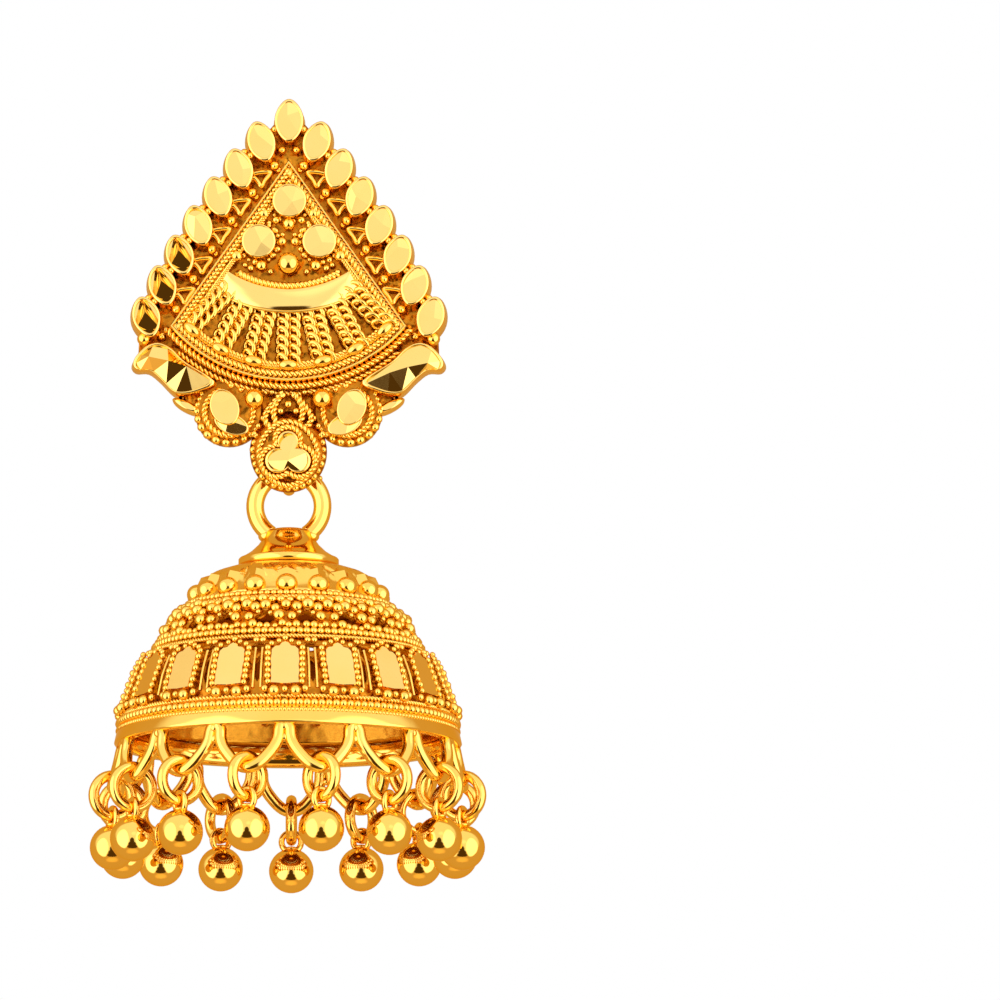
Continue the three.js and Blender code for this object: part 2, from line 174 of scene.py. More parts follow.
# High inside the bell the colour is painted shade: a dull red-brown that shows through the openings.
shade_gold = gold_finish("painted_shade_inside_gold", 0.45, 0.25, 0.01, wave_mm=1.0, wave_depth_mm=0.2,
                         colours=("A8560E", "6E3208"))
print("finishes:", [m.name for m in bpy.data.materials if m.name.endswith("_gold")])


# %% [markdown]
# ## From shape to piece
# A shape is drawn in a bmesh, in millimetres. `piece` shrinks it to metres and lets it ride on its body.
# Closed shapes get their normals turned outwards, because a lathe or a mirrored outline can come out
# inside out.

# %% Pieces
made = {}


def front(x, z, depth=0.0):
    """A point of the stud: x to the right, z up, and depth towards the front, which is -Y."""
    return Vector((x, -depth, z))


def piece(name, source, body, material=None, replaces=()):
    """Make a finished piece from a bmesh or a mesh in millimetres."""
    if isinstance(source, bmesh.types.BMesh):
        bmesh.ops.remove_doubles(source, verts=source.verts, dist=1e-5)
        bmesh.ops.recalc_face_normals(source, faces=source.faces)
        mesh = bpy.data.meshes.new(name)
        source.to_mesh(mesh)
        source.free()
    else:
        mesh = source
        mesh.name = name
    mesh.transform(Matrix.Scale(MM, 4))
    if material:
        mesh.materials.clear()
        mesh.materials.append(material)
    obj = bpy.data.objects.new(name, mesh)
    bpy.context.scene.collection.objects.link(obj)
    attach(obj, body)
    if replaces:
        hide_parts(*replaces)
    made[name] = len(mesh.polygons)
    print(f"{name}: {len(mesh.polygons)} faces")
    return obj


# %% [markdown]
# ## Growing what repeats
# Granules, ropes, chains and copies round the bell are made with Geometry Nodes. Each tree has named inputs
# for its sizes. `grow` gives a shape such a modifier, sets its inputs, and takes the plain mesh that comes out.

# %% Grow a mesh with Geometry Nodes
SOCKETS = {float: "NodeSocketFloat", int: "NodeSocketInt", bpy.types.Material: "NodeSocketMaterial"}


def new_tree(name, **sizes):
    """A geometry tree with one named input for each size; the last input is the finish."""
    tree = bpy.data.node_groups.new(name, "GeometryNodeTree")
    tree.interface.new_socket(name="Geometry", in_out="INPUT", socket_type="NodeSocketGeometry")
    for label, default in sizes.items():
        kind = SOCKETS[type(default)]
        socket = tree.interface.new_socket(name=label, in_out="INPUT", socket_type=kind)
        socket.default_value = default
    tree.interface.new_socket(name="Finish", in_out="INPUT", socket_type="NodeSocketMaterial")
    tree.interface.new_socket(name="Geometry", in_out="OUTPUT", socket_type="NodeSocketGeometry")
    return tree, add_node(tree, "NodeGroupInput").outputs


def close_tree(tree, given, instances, smooth=True):
    """End a tree as every tree here ends: real geometry, shaded, with its finish."""
    real = add_node(tree, "GeometryNodeRealizeInstances", {"Geometry": instances}).outputs[0]
    if smooth:
        real = add_node(tree, "GeometryNodeSetShadeSmooth", {"Geometry": real, "Shade Smooth": True}).outputs[0]
    real = add_node(tree, "GeometryNodeSetMaterial", {"Geometry": real, "Material": given["Finish"]}).outputs[0]
    add_node(tree, "NodeGroupOutput", {"Geometry": real})
    return tree


def plain_mesh(obj):
    """What an object looks like after its modifiers, as a mesh of its own; the object is then removed."""
    depsgraph = bpy.context.evaluated_depsgraph_get()
    mesh = bpy.data.meshes.new_from_object(obj.evaluated_get(depsgraph), depsgraph=depsgraph)
    bpy.data.objects.remove(obj)
    return mesh


def grow(source, tree, finish, **sizes):
    """Run a tree on a mesh and return the plain mesh that it makes."""
    obj = bpy.data.objects.new("growing", source)
    bpy.context.scene.collection.objects.link(obj)
    modifier = obj.modifiers.new("grow", "NODES")
    modifier.node_group = tree
    for item in tree.interface.items_tree:
        if item.in_out == "INPUT" and item.name in sizes:
            modifier[item.identifier] = sizes[item.name]
        elif item.in_out == "INPUT" and item.name == "Finish":
            modifier[item.identifier] = finish
    return plain_mesh(obj)


def join(meshes):
    """Several meshes in millimetres as one bmesh."""
    shape = bmesh.new()
    for mesh in meshes:
        shape.from_mesh(mesh)
    return shape


def path_mesh(paths):
    """Polylines as a mesh of edges. Each path is its points, and whether it closes on itself."""
    points, edges = [], []
    for path, closed in paths:
        start = len(points)
        points += [tuple(p) for p in path]
        edges += [(start + i, start + i + 1) for i in range(len(path) - 1)]
        if closed:
            edges.append((start + len(path) - 1, start))
    mesh = bpy.data.meshes.new("paths")
    mesh.from_pydata(points, edges, [])
    return mesh


def spot_mesh(spots):
    """Loose points, each with the radius of the granule to set there."""
    mesh = bpy.data.meshes.new("spots")
    mesh.from_pydata([tuple(p) for p, _ in spots], [], [])
    radius = mesh.attributes.new("radius", "FLOAT", "POINT")
    radius.data.foreach_set("value", [r for _, r in spots])
    return mesh


# %% [markdown]
# ### Granules
# A granule is a snippet of gold wire melted into a ball and fused in place. Along a wire or a rim they are set
# touching, so that tree spaces them by their pitch. No two come out alike, so their size varies a little.

# %% Granule trees
def granule_row_tree():
    tree, given = new_tree("granules_in_a_row", Radius=0.2, Pitch=0.42, Variation=0.08, Seed=3)
    curve = add_node(tree, "GeometryNodeMeshToCurve", {"Mesh": given["Geometry"]}).outputs[0]
    row = add_node(tree, "GeometryNodeResampleCurve", {"Curve": curve, "Length": given["Pitch"]}, mode="LENGTH")
    small = add_node(tree, "ShaderNodeMath", {0: 1.0, 1: given["Variation"]}, operation="SUBTRACT").outputs[0]
    large = add_node(tree, "ShaderNodeMath", {0: 1.0, 1: given["Variation"]}, operation="ADD").outputs[0]
    size = add_node(tree, "FunctionNodeRandomValue", {2: small, 3: large, "Seed": given["Seed"]},
                    data_type="FLOAT")
    grain = add_node(tree, "GeometryNodeMeshIcoSphere", {"Radius": given["Radius"], "Subdivisions": 2})
    rows = add_node(tree, "GeometryNodeInstanceOnPoints", {
        "Points": row.outputs[0], "Instance": grain.outputs["Mesh"], "Scale": size.outputs[1]})
    return close_tree(tree, given, rows.outputs[0])


def granule_spot_tree():
    tree, given = new_tree("granules_on_spots", Detail=2)
    radius = add_node(tree, "GeometryNodeInputNamedAttribute", {"Name": "radius"}, data_type="FLOAT")
    grain = add_node(tree, "GeometryNodeMeshIcoSphere", {"Radius": 1.0, "Subdivisions": given["Detail"]})
    spots = add_node(tree, "GeometryNodeInstanceOnPoints", {
        "Points": given["Geometry"], "Instance": grain.outputs["Mesh"], "Scale": radius.outputs["Attribute"]})
    return close_tree(tree, given, spots.outputs[0])


granule_row = granule_row_tree()
granule_spot = granule_spot_tree()


def granules_along(paths, radius, pitch, variation=0.08, seed=3):
    sizes = {"Radius": radius, "Pitch": pitch, "Variation": variation, "Seed": seed}
    return grow(path_mesh(paths), granule_row, granule_gold, **sizes)


def granules_at(spots, detail=2):
    return grow(spot_mesh(spots), granule_spot, granule_gold, Detail=detail)


# %% [markdown]
# ### Twisted wire
# The cord-like borders are two fine wires twisted together and soldered down. Each strand is the path pushed
# sideways by a turning arm: along the curve's normal by the cosine of the turn, and across it by the sine.

# %% Twisted wire tree
def rope_tree():
    tree, given = new_tree("twisted_wire", Radius=0.1, Lay=0.6, Step=0.07)
    curve = add_node(tree, "GeometryNodeMeshToCurve", {"Mesh": given["Geometry"]}).outputs[0]
    fine = add_node(tree, "GeometryNodeResampleCurve", {"Curve": curve, "Length": given["Step"]}, mode="LENGTH")
    normal = add_node(tree, "GeometryNodeInputNormal").outputs["Normal"]
    tangent = add_node(tree, "GeometryNodeInputTangent").outputs["Tangent"]
    across = add_node(tree, "ShaderNodeVectorMath", {0: tangent, 1: normal},
                      operation="CROSS_PRODUCT").outputs[0]
    length = add_node(tree, "GeometryNodeSplineParameter").outputs["Length"]
    turns = add_node(tree, "ShaderNodeMath", {0: length, 1: given["Lay"]}, operation="DIVIDE").outputs[0]
    section = add_node(tree, "GeometryNodeCurvePrimitiveCircle", {"Resolution": 6, "Radius": given["Radius"]})
    both = add_node(tree, "GeometryNodeJoinGeometry")
    for strand in (0.0, 0.5):
        phase = add_node(tree, "ShaderNodeMath", {0: turns, 1: strand}, operation="ADD").outputs[0]
        angle = add_node(tree, "ShaderNodeMath", {0: phase, 1: math.tau}, operation="MULTIPLY").outputs[0]
        arms = []
        for wave, direction in (("COSINE", normal), ("SINE", across)):
            amount = add_node(tree, "ShaderNodeMath", {0: angle}, operation=wave).outputs[0]
            reach = add_node(tree, "ShaderNodeMath", {0: amount, 1: given["Radius"]}, operation="MULTIPLY")
            arm = add_node(tree, "ShaderNodeVectorMath", {0: direction, 3: reach.outputs[0]}, operation="SCALE")
            arms.append(arm.outputs[0])
        offset = add_node(tree, "ShaderNodeVectorMath", {0: arms[0], 1: arms[1]}, operation="ADD").outputs[0]
        moved = add_node(tree, "GeometryNodeSetPosition", {"Geometry": fine.outputs[0], "Offset": offset})
        wire = add_node(tree, "GeometryNodeCurveToMesh", {
            "Curve": moved.outputs[0], "Profile Curve": section.outputs[0], "Fill Caps": True})
        tree.links.new(wire.outputs[0], both.inputs[0])
    return close_tree(tree, given, both.outputs[0])


def wire_tree():
    tree, given = new_tree("round_wire", Radius=0.3, Step=0.25, Sides=12)
    curve = add_node(tree, "GeometryNodeMeshToCurve", {"Mesh": given["Geometry"]}).outputs[0]
    fine = add_node(tree, "GeometryNodeResampleCurve", {"Curve": curve, "Length": given["Step"]}, mode="LENGTH")
    section = add_node(tree, "GeometryNodeCurvePrimitiveCircle", {
        "Resolution": given["Sides"], "Radius": given["Radius"]})
    wire = add_node(tree, "GeometryNodeCurveToMesh", {
        "Curve": fine.outputs[0], "Profile Curve": section.outputs[0], "Fill Caps": True})
    return close_tree(tree, given, wire.outputs[0])


twisted_wire = rope_tree()
round_wire = wire_tree()


def rope_along(paths, radius, lay=None):
    """A two-strand rope; radius is that of one strand, so the rope is four times as wide."""
    sizes = {"Radius": radius, "Lay": lay or radius * 5.5, "Step": radius * 0.7}
    return grow(path_mesh(paths), twisted_wire, granule_gold, **sizes)


def wire_along(paths, radius, step=0.25, sides=12, finish=None):
    return grow(path_mesh(paths), round_wire, finish or burnished_gold, Radius=radius, Step=step, Sides=sides)


# %% [markdown]
# ### Copies round the bell
# Everything on the bell repeats round its axis. The motif is drawn once, facing the front, and instanced on
# points that all sit on the axis, each turned a little further.

# %% Round-the-axis tree
def round_axis_tree():
    tree, given = new_tree("copies_round_the_axis", Count=18, Start=0.0)
    points = add_node(tree, "GeometryNodePoints", {"Count": given["Count"], "Position": tuple(AXIS)}).outputs[0]
    index = add_node(tree, "GeometryNodeInputIndex").outputs[0]
    share = add_node(tree, "ShaderNodeMath", {0: index, 1: given["Count"]}, operation="DIVIDE").outputs[0]
    turn = add_node(tree, "ShaderNodeMath", {0: share, 1: math.tau, 2: given["Start"]},
                    operation="MULTIPLY_ADD")
    rotation = add_node(tree, "ShaderNodeCombineXYZ", {"Z": turn.outputs[0]}).outputs[0]
    copies = add_node(tree, "GeometryNodeInstanceOnPoints", {
        "Points": points, "Instance": given["Geometry"], "Rotation": rotation}).outputs[0]
    real = add_node(tree, "GeometryNodeRealizeInstances", {"Geometry": copies}).outputs[0]
    real = add_node(tree, "GeometryNodeSetMaterial", {"Geometry": real, "Material": given["Finish"]}).outputs[0]
    add_node(tree, "NodeGroupOutput", {"Geometry": real})
    return tree


round_axis = round_axis_tree()


def repeat_round(mesh, count, finish, start_degrees=0.0):
    return grow(mesh, round_axis, finish, Count=count, Start=math.radians(start_degrees))


def mesh_of(shape):
    """A bmesh as a mesh, still in millimetres."""
    bmesh.ops.remove_doubles(shape, verts=shape.verts, dist=1e-5)
    bmesh.ops.recalc_face_normals(shape, faces=shape.faces)
    mesh = bpy.data.meshes.new("motif")
    shape.to_mesh(mesh)
    shape.free()
    return mesh


# %% [markdown]
# ## Outlines and cut faces
# The petals, discs, leaves and lobes are all made in one way: a little flared box with a rolled rim, closed by
# flat facets that meet at a high point. The facets are real planes, since that is what makes a diamond-cut
# surface flash. Each facet is one polygon, so it stays exactly flat.

# %% Outlines
def oval(x, z, length, width, lean=0.0, point=0.0, count=36):
    """A closed outline whose long axis leans to the right by lean degrees; point sharpens its two ends."""
    turn = math.radians(lean)
    outline = []
    for i in range(count):
        a = math.tau * i / count
        across = math.cos(a) * width / 2 * (1 - point * math.sin(a) ** 2)
        along = math.sin(a) * length / 2
        outline.append((x + across * math.cos(turn) + along * math.sin(turn),
                        z - across * math.sin(turn) + along * math.cos(turn)))
    return outline


def rounded(corners, steps=4):
    """A smooth closed outline through a few corners (a Catmull-Rom curve)."""
    outline = []
    count = len(corners)
    for i in range(count):
        a, b, c, d = (Vector(corners[(i + k) % count]) for k in (-1, 0, 1, 2))
        for step in range(steps):
            t = step / steps
            square, cube = 2 * a - 5 * b + 4 * c - d, 3 * b - a - 3 * c + d
            p = 0.5 * (2 * b + (c - a) * t + square * t ** 2 + cube * t ** 3)
            outline.append((p.x, p.y))
    return outline


def mirrored(outline):
    return [(-x, z) for x, z in reversed(outline)]


def middle_of(outline):
    return sum(x for x, _ in outline) / len(outline), sum(z for _, z in outline) / len(outline)


def grown(outline, distance, middle=None):
    """The outline pushed outwards by about a distance, or inwards if it is negative."""
    mx, mz = middle or middle_of(outline)
    size = sum(math.hypot(x - mx, z - mz) for x, z in outline) / len(outline)
    return [(mx + (x - mx) * (1 + distance / size), mz + (z - mz) * (1 + distance / size)) for x, z in outline]


def arc(radius, centre_z, half_angle, steps=24, x=0.0):
    """Points along the lower part of a circle, from left to right."""
    angles = [math.radians(half_angle) * (2 * i / steps - 1) for i in range(steps + 1)]
    return [(x + radius * math.sin(a), centre_z - radius * math.cos(a)) for a in angles]


# %% Closed shapes from stacked outlines
def stack(shape, layers, smooth=True, close_front=True):
    """Join outlines of equally many points, each (outline, depth), from the back to the front."""
    rings = [[shape.verts.new(front(x, z, depth)) for x, z in outline] for outline, depth in layers]
    count = len(rings[0])
    faces = []
    for lower, upper in zip(rings, rings[1:]):
        for i in range(count):
            j = (i + 1) % count
            faces.append(shape.faces.new((lower[i], lower[j], upper[j], upper[i])))
    faces.append(shape.faces.new(list(reversed(rings[0]))))
    if close_front:
        faces.append(shape.faces.new(rings[-1]))
    for face in faces:
        face.smooth = smooth and len(face.verts) == 4
    return rings[-1]


FACET_DIP, FACET_RISE = 0.2, 0.1  # how far a facet's edge may run below its rim and above it


def cut_face(shape, outline, base, rim, peak, facets=5, turn=0.0, apex=(0.0, 0.0), flare=0.1, lip=0.1,
             ridge=()):
    """A flared wall with a bevelled rim, closed by flat facets that meet at an apex.

    A ridge is a longer list of (dx, dz, peak) for long shapes: each facet then runs up to its nearest point.
    """
    middle = middle_of(outline)
    layers = [
        (grown(outline, flare, middle), base),
        (grown(outline, flare * 0.4, middle), (base + rim) / 2),
        (grown(outline, 0.02, middle), rim - lip * 1.3),
        (outline, rim - lip * 0.5),
        (grown(outline, -lip * 0.2, middle), rim - lip * 0.3),
        (grown(outline, -lip * 0.85, middle), rim),
        (grown(outline, -lip, middle), rim - lip * 0.3),
    ]
    inner_rim = stack(shape, layers, close_front=False)
    inside = grown(outline, -lip * 1.05, middle)
    count = len(inside)
    points = [(middle[0] + dx, middle[1] + dz, top) for dx, dz, top in ridge or [(*apex, peak)]]
    corners = [round(count * (k + turn) / facets) % count for k in range(facets)]
    level = rim - lip * 0.45
    depths = [level] * count
    nearest = []
    for k, first in enumerate(corners):
        last = corners[(k + 1) % facets]
        (x1, z1), (x2, z2) = inside[first], inside[last]
        mx, mz = (x1 + x2) / 2, (z1 + z2) / 2
        nearest.append(min(range(len(points)), key=lambda n: math.hypot(points[n][0] - mx, points[n][1] - mz)))
        ax, az, top = points[nearest[k]]
        area = (x1 - ax) * (z2 - az) - (x2 - ax) * (z1 - az)
        slope_x = (level - top) * (z2 - z1) / area
        slope_z = (level - top) * (x1 - x2) / area
        i = (first + 1) % count
        while i != last:
            depth = top + slope_x * (inside[i][0] - ax) + slope_z * (inside[i][1] - az)
            depths[i] = min(max(depth, level - FACET_DIP), rim + FACET_RISE)
            i = (i + 1) % count
    edge = [shape.verts.new(front(x, z, depth)) for (x, z), depth in zip(inside, depths)]
    tops = [shape.verts.new(front(x, z, depth)) for x, z, depth in points]
    for i in range(count):
        j = (i + 1) % count
        shape.faces.new((inner_rim[i], inner_rim[j], edge[j], edge[i])).smooth = True
    for k, first in enumerate(corners):
        last = corners[(k + 1) % facets]
        run = [edge[first]]
        i = first
        while i != last:
            i = (i + 1) % count
            run.append(edge[i])
        shape.faces.new([tops[nearest[k]]] + run).smooth = False
        following = nearest[(k + 1) % facets]
        if following != nearest[k]:
            shape.faces.new((tops[nearest[k]], edge[last], tops[following])).smooth = False


# %% [markdown]
# ## The stud
# The stud is built up from a flat plate. Its petals stand on the edge, the fan is a raised box in the middle,
# and leaves and scallops close the kite at the bottom. Sizes repeat those of the solid model.

# %% Stud measures
PLATE = 0.7
PETAL_FIRST, PETAL_BEND, PETAL_LAST = Vector((1.62, 4.6)), Vector((5.6, -0.16)), Vector((8.28, -5.8))
PETAL_LEAN = 17
FAN_APEX, FAN_CORNER, FAN_FOOT = 3.43, Vector((6.9, -6.42)), -9.65
FAN_FLOOR, FAN_RIM = 1.8, 2.42
BAND_CENTRE, BAND_RADIUS, BAND_WIDTH = 1.74, 6.68, 1.33
BAND_HALF_ANGLE, BAND_STEPS, BAND_BEND = 37, 32, 0.03


def petal_places():
    """Centres of the petals on the right side, from the top down."""
    places = []
    for i in range(7):
        t = i / 6
        p = PETAL_FIRST * (1 - t) ** 2 + PETAL_BEND * 2 * t * (1 - t) + PETAL_LAST * t ** 2
        places.append((p.x, p.y))
    return places


def fan_outline(inset=0.0, steps=40):
    """Two straight sides and a round foot, set in by inset, counter-clockwise from the left corner."""
    sagitta = FAN_CORNER.y - FAN_FOOT
    foot_radius = (FAN_CORNER.x ** 2 + sagitta ** 2) / (2 * sagitta)
    centre = FAN_FOOT + foot_radius
    half = math.atan2(FAN_CORNER.x, FAN_APEX - FAN_CORNER.y)
    radius = foot_radius - inset
    apex = FAN_APEX - inset / math.sin(half)
    x = FAN_CORNER.x
    for _ in range(40):
        x = (x + (apex - centre + math.sqrt(radius ** 2 - x ** 2)) * math.tan(half)) / 2
    reach = math.degrees(math.asin(x / radius))
    foot = arc(radius, centre, reach, steps)
    left, right = Vector(foot[0]), Vector(foot[-1])
    top = Vector((0, apex))
    up = [right.lerp(top, k / 12) for k in range(1, 12)]
    down = [top.lerp(left, k / 12) for k in range(1, 12)]
    return foot + [(p.x, p.y) for p in up] + [(0, apex)] + [(p.x, p.y) for p in down], foot


print("petals at", [tuple(round(v, 2) for v in p) for p in petal_places()])

# %% [markdown]
# ### Back plate
# The plate is a sheet cut to the kite's outline. It is what shows between the petals and the fan. The shallow
# cups of the three scallops are part of it.

# %% Plate
SCALLOP = Vector((3.45, -11.24))
CENTRE_SCALLOP = Vector((0, -13.6))


def plate_outline():
    edge = [(x + 0.3, z + 0.1) for x, z in petal_places()]
    leaf_side = [(8.75, -7.0), (8.8, -8.3), (8.1, -8.8), (7.3, -9.4), (6.4, -10.3), (5.6, -10.85)]
    half = [(0.35, 6.5), *edge, *leaf_side, (4.6, -11.4), (1.5, -12.5)]
    return list(reversed([*half, *mirrored(half)]))


def plate():
    shape = bmesh.new()
    outline = plate_outline()
    stack(shape, [(outline, 0.0), (outline, PLATE - 0.08), (grown(outline, -0.08), PLATE)], smooth=False)
    for sign in (1, -1):
        disc = oval(sign * SCALLOP.x, SCALLOP.y, 3.9, 3.9, count=48)
        wide = grown(disc, 0.06)
        stack(shape, [(disc, 0.06), (wide, 0.25), (wide, 0.9), (grown(disc, -0.1), 1.25)])
    oval_back = oval(0, CENTRE_SCALLOP.y, 4.66, 4.4, count=48)
    layers = [(oval_back, 0.47), (grown(oval_back, 0.05), 0.6), (grown(oval_back, 0.05), 1.0),
              (grown(oval_back, -0.25), 1.35), (grown(oval_back, -0.7), 1.7)]
    stack(shape, layers)
    return shape


# The plate is finished in the ground's gold, whose deeper colour is painted shade.
piece("stud_plate", plate(), "stud", shaded_ground_gold, replaces=["stud"])

# %% [markdown]
# ### Petals
# Fifteen navette petals. Their facets are turned a little differently from one to the next, as hand cutting
# leaves them. Three low on the left have one broad facet that slopes down, and so catches the dark gap low in
# front of the earring.

# %% Petals and the cells behind them
PETAL_LENGTH, PETAL_WIDTH = 2.46, 1.62


def petals():
    shape = bmesh.new()
    crown = oval(0, 5.84, PETAL_LENGTH * 1.04, PETAL_WIDTH * 1.04, point=0.2)
    cut_face(shape, crown, 0.45, 2.1, 2.06, facets=5, turn=0.4, apex=(-0.1, 0.3), flare=0.11, lip=0.17)
    for i, (x, z) in enumerate(petal_places()):
        for sign in (1, -1):
            shaded = sign < 0 and i > 3
            rise = 0.3 if shaded else 0.02 * (i % 2) - 0.03
            outline = oval(sign * x, z, PETAL_LENGTH, PETAL_WIDTH, lean=sign * PETAL_LEAN, point=0.2)
            turn = (0.13 + 0.31 * i + (0.4 if sign < 0 else 0.0)) % 1
            off = (0.24 * math.sin(2.1 * i + sign), 0.2 + 0.3 * math.cos(1.7 * i - sign))
            facets = 4 + (i + (sign < 0)) % 2
            if shaded:  # one broad facet slopes down and away
                facets, turn, off = 3, 0.7 + 0.04 * (i % 2), (-0.05, 0.2)
            cut_face(shape, outline, 0.45, 2.08, 2.08 + rise, facets, turn, off, flare=0.2, lip=0.17)
    return shape


piece("petals", petals(), "stud", cut_gold)


def petal_gaps():
    """Granules at the foot of each petal, and nubs that tie neighbours together at the rim."""
    spots = []
    places = petal_places()
    for i, (x, z) in enumerate(places):
        for sign in (1, -1):
            if i < 6:
                spots.append((front(sign * (x - 0.78), z - 1.32, 1.25), 0.3))
                spots.append((front(sign * (x - 0.98), z - 1.5, 0.95), 0.22))
                x2, z2 = places[i + 1]
                spots.append((front(sign * (x + x2) / 2, (z + z2) / 2, 1.75), 0.2))
                spots.append((front(sign * ((x + x2) / 2 + 0.35), (z + z2) / 2 + 0.25, 1.35), 0.24))
            else:
                spots.append((front(sign * (x - 0.9), z - 1.0, 1.1), 0.26))
    spots += [(front(sign * 0.85, 5.35, 1.75), 0.2) for sign in (1, -1)]
    spots += [(front(sign * 0.42, 4.25, 1.1), 0.24) for sign in (1, -1)]
    return spots


def gap_cells():
    """Small three-sided cells of bent wire, between the petals and the fan."""
    paths = []
    for x, z in petal_places()[1:6]:
        for sign in (1, -1):
            cx, cz = x - 1.32, z - 0.5
            tips = rounded([(0.55, 0.3), (-0.5, 0.42), (-0.2, -0.05), (0.02, -0.45), (0.25, -0.12)], 5)
            paths.append(([front(sign * (cx + px), cz + pz, 1.25) for px, pz in tips], True))
    return wire_along(paths, 0.14, 0.1, 8, granule_gold)


piece("petal_granules", granules_at(petal_gaps()), "stud")
piece("gap_cells", gap_cells(), "stud", granule_gold)

# %% [markdown]
# ### The fan
# The fan is a shallow box with a raised rim. A twisted wire lies in a channel all the way round, two more
# follow its round foot, and a plain polished band crosses it.

# %% Fan box and its ropes
def fan_box():
    shape = bmesh.new()
    layers = [(0.0, 0.5), (0.0, FAN_RIM - 0.06), (0.04, FAN_RIM), (0.12, FAN_RIM), (0.16, FAN_RIM - 0.06),
              (0.18, FAN_RIM - 0.32), (0.62, FAN_RIM - 0.32), (0.64, FAN_RIM - 0.1), (0.68, FAN_RIM - 0.06),
              (0.74, FAN_RIM - 0.1), (0.78, FAN_FLOOR)]
    stack(shape, [(fan_outline(inset)[0], depth) for inset, depth in layers], smooth=False)
    return shape


def fan_ground():
    shape = bmesh.new()
    inside = fan_outline(0.77)[0]
    stack(shape, [(inside, FAN_FLOOR - 0.1), (inside, FAN_FLOOR + 0.02)], smooth=False)
    return shape


def in_front(outline, depth):
    return [front(x, z, depth) for x, z in outline]


piece("fan_box", fan_box(), "stud", burnished_gold)
# The fan's floor is painted shade: the deeper gold of the ground between the chains.
piece("fan_ground", fan_ground(), "stud", shaded_ground_gold)
_, foot_inner = fan_outline(0.98)
_, foot_outer = fan_outline(-0.2)
_, foot_lower = fan_outline(-0.55)
ropes = [
    rope_along([(in_front(fan_outline(0.4)[0], FAN_RIM - 0.1), True)], 0.105),
    rope_along([(in_front(fan_outline(0.84)[0], FAN_RIM - 0.14), True)], 0.06),
    rope_along([(in_front(foot_inner[1:-1], FAN_RIM - 0.12), False)], 0.09),
    rope_along([(in_front(foot_outer, 1.62), False)], 0.12),
    rope_along([(in_front(foot_lower[4:-4], 1.15), False)], 0.12),
    rope_along([(in_front(arc(BAND_RADIUS - 0.88, BAND_CENTRE, 31), 2.3), False)], 0.13, 0.5),
]
piece("fan_ropes", join(ropes), "stud", granule_gold)


def band():
    shape = bmesh.new()
    half = BAND_WIDTH / 2

    def ribbon(trim):
        lower = arc(BAND_RADIUS + half - trim, BAND_CENTRE, BAND_HALF_ANGLE - trim * 8, BAND_STEPS)
        upper = arc(BAND_RADIUS - half + trim, BAND_CENTRE, BAND_HALF_ANGLE - trim * 8, BAND_STEPS)
        return lower + list(reversed(upper))

    bow = [(0.0, 1.75), (0.0, 2.64), (0.04, 2.7), (0.08, 2.715), (0.3, 2.74), (0.55, 2.745)]
    top = stack(shape, [(ribbon(trim), depth) for trim, depth in bow], close_front=False)
    for i in range(BAND_STEPS):
        shape.faces.new((top[i], top[i + 1], top[-2 - i], top[-1 - i])).smooth = True
    for vert in shape.verts:  # the band is bent a little round the stud, so light runs along it
        if vert.co.y < -2.5:
            vert.co.y += BAND_BEND * vert.co.x ** 2
    return shape


piece("fan_band", band(), "stud", cut_gold)
lower_edge = arc(BAND_RADIUS + BAND_WIDTH / 2 + 0.02, BAND_CENTRE, BAND_HALF_ANGLE, BAND_STEPS)
edge_path = [front(x, z, 2.62 - BAND_BEND * x ** 2) for x, z in lower_edge]
piece("band_edge", wire_along([(edge_path, False)], 0.08, 0.2, 8), "stud")

# %% [markdown]
# ### Discs, ball and granules in the point of the fan
# Three round cut discs sit over one polished ball. Each is ringed by granules, with loose granules between.

# %% Discs and granules
DISCS = [Vector((0.05, 0.98)), Vector((-1.74, -1.42)), Vector((1.8, -1.42))]
FAN_GRANULES = [  # x, z, radius; those off the centre line stand on both sides
    (0, 2.72, 0.3), (1.45, 0.28, 0.33), (0, -0.35, 0.36), (0.74, -0.1, 0.23), (0.37, -1.38, 0.26),
    (3.02, -2.25, 0.35), (1.58, -2.82, 0.33), (0.95, -2.2, 0.17), (2.2, -2.95, 0.2), (0.35, -0.95, 0.15),
    (0.75, -0.72, 0.17), (1.15, -0.25, 0.16), (2.55, -2.75, 0.16), (1.05, -3.15, 0.18), (0.42, 2.25, 0.17),
    (1.02, 1.75, 0.17), (1.32, 1.25, 0.15), (0.7, -1.85, 0.16), (2.9, -1.55, 0.16), (3.5, -2.7, 0.17),
]


def discs():
    shape = bmesh.new()
    for k, centre in enumerate(DISCS):
        outline = oval(centre.x, centre.y, 1.96, 1.96, count=40)
        turn = 0.35 * k + 0.1
        cut_face(shape, outline, 1.7, 2.68, 2.68, facets=6 - k % 2, turn=turn, apex=(0.16, -0.1), flare=0.04)
    return shape


def fan_granules():
    spots = []
    for x, z, radius in FAN_GRANULES:
        for sign in ((1, -1) if x else (1,)):
            spots.append((front(sign * x, z, FAN_FLOOR + 0.05 + radius * 0.9), radius * 1.08))
    return spots


piece("fan_discs", discs(), "stud", cut_gold)
rings = [(in_front(oval(c.x, c.y, 2.36, 2.36, count=40), FAN_FLOOR + 0.2), True) for c in DISCS]
tiny = granules_along(rings, 0.17, 0.42, 0.3, seed=5)
piece("fan_granules", join([granules_at(fan_granules()), tiny]), "stud", granule_gold)


def ball_shape(balls, segments=28, rings=18):
    """Polished balls, each (centre, radius)."""
    shape = bmesh.new()
    for centre, radius in balls:
        bmesh.ops.create_uvsphere(shape, u_segments=segments, v_segments=rings, radius=radius,
                                  matrix=Matrix.Translation(centre))
    for face in shape.faces:
        face.smooth = True
    return shape


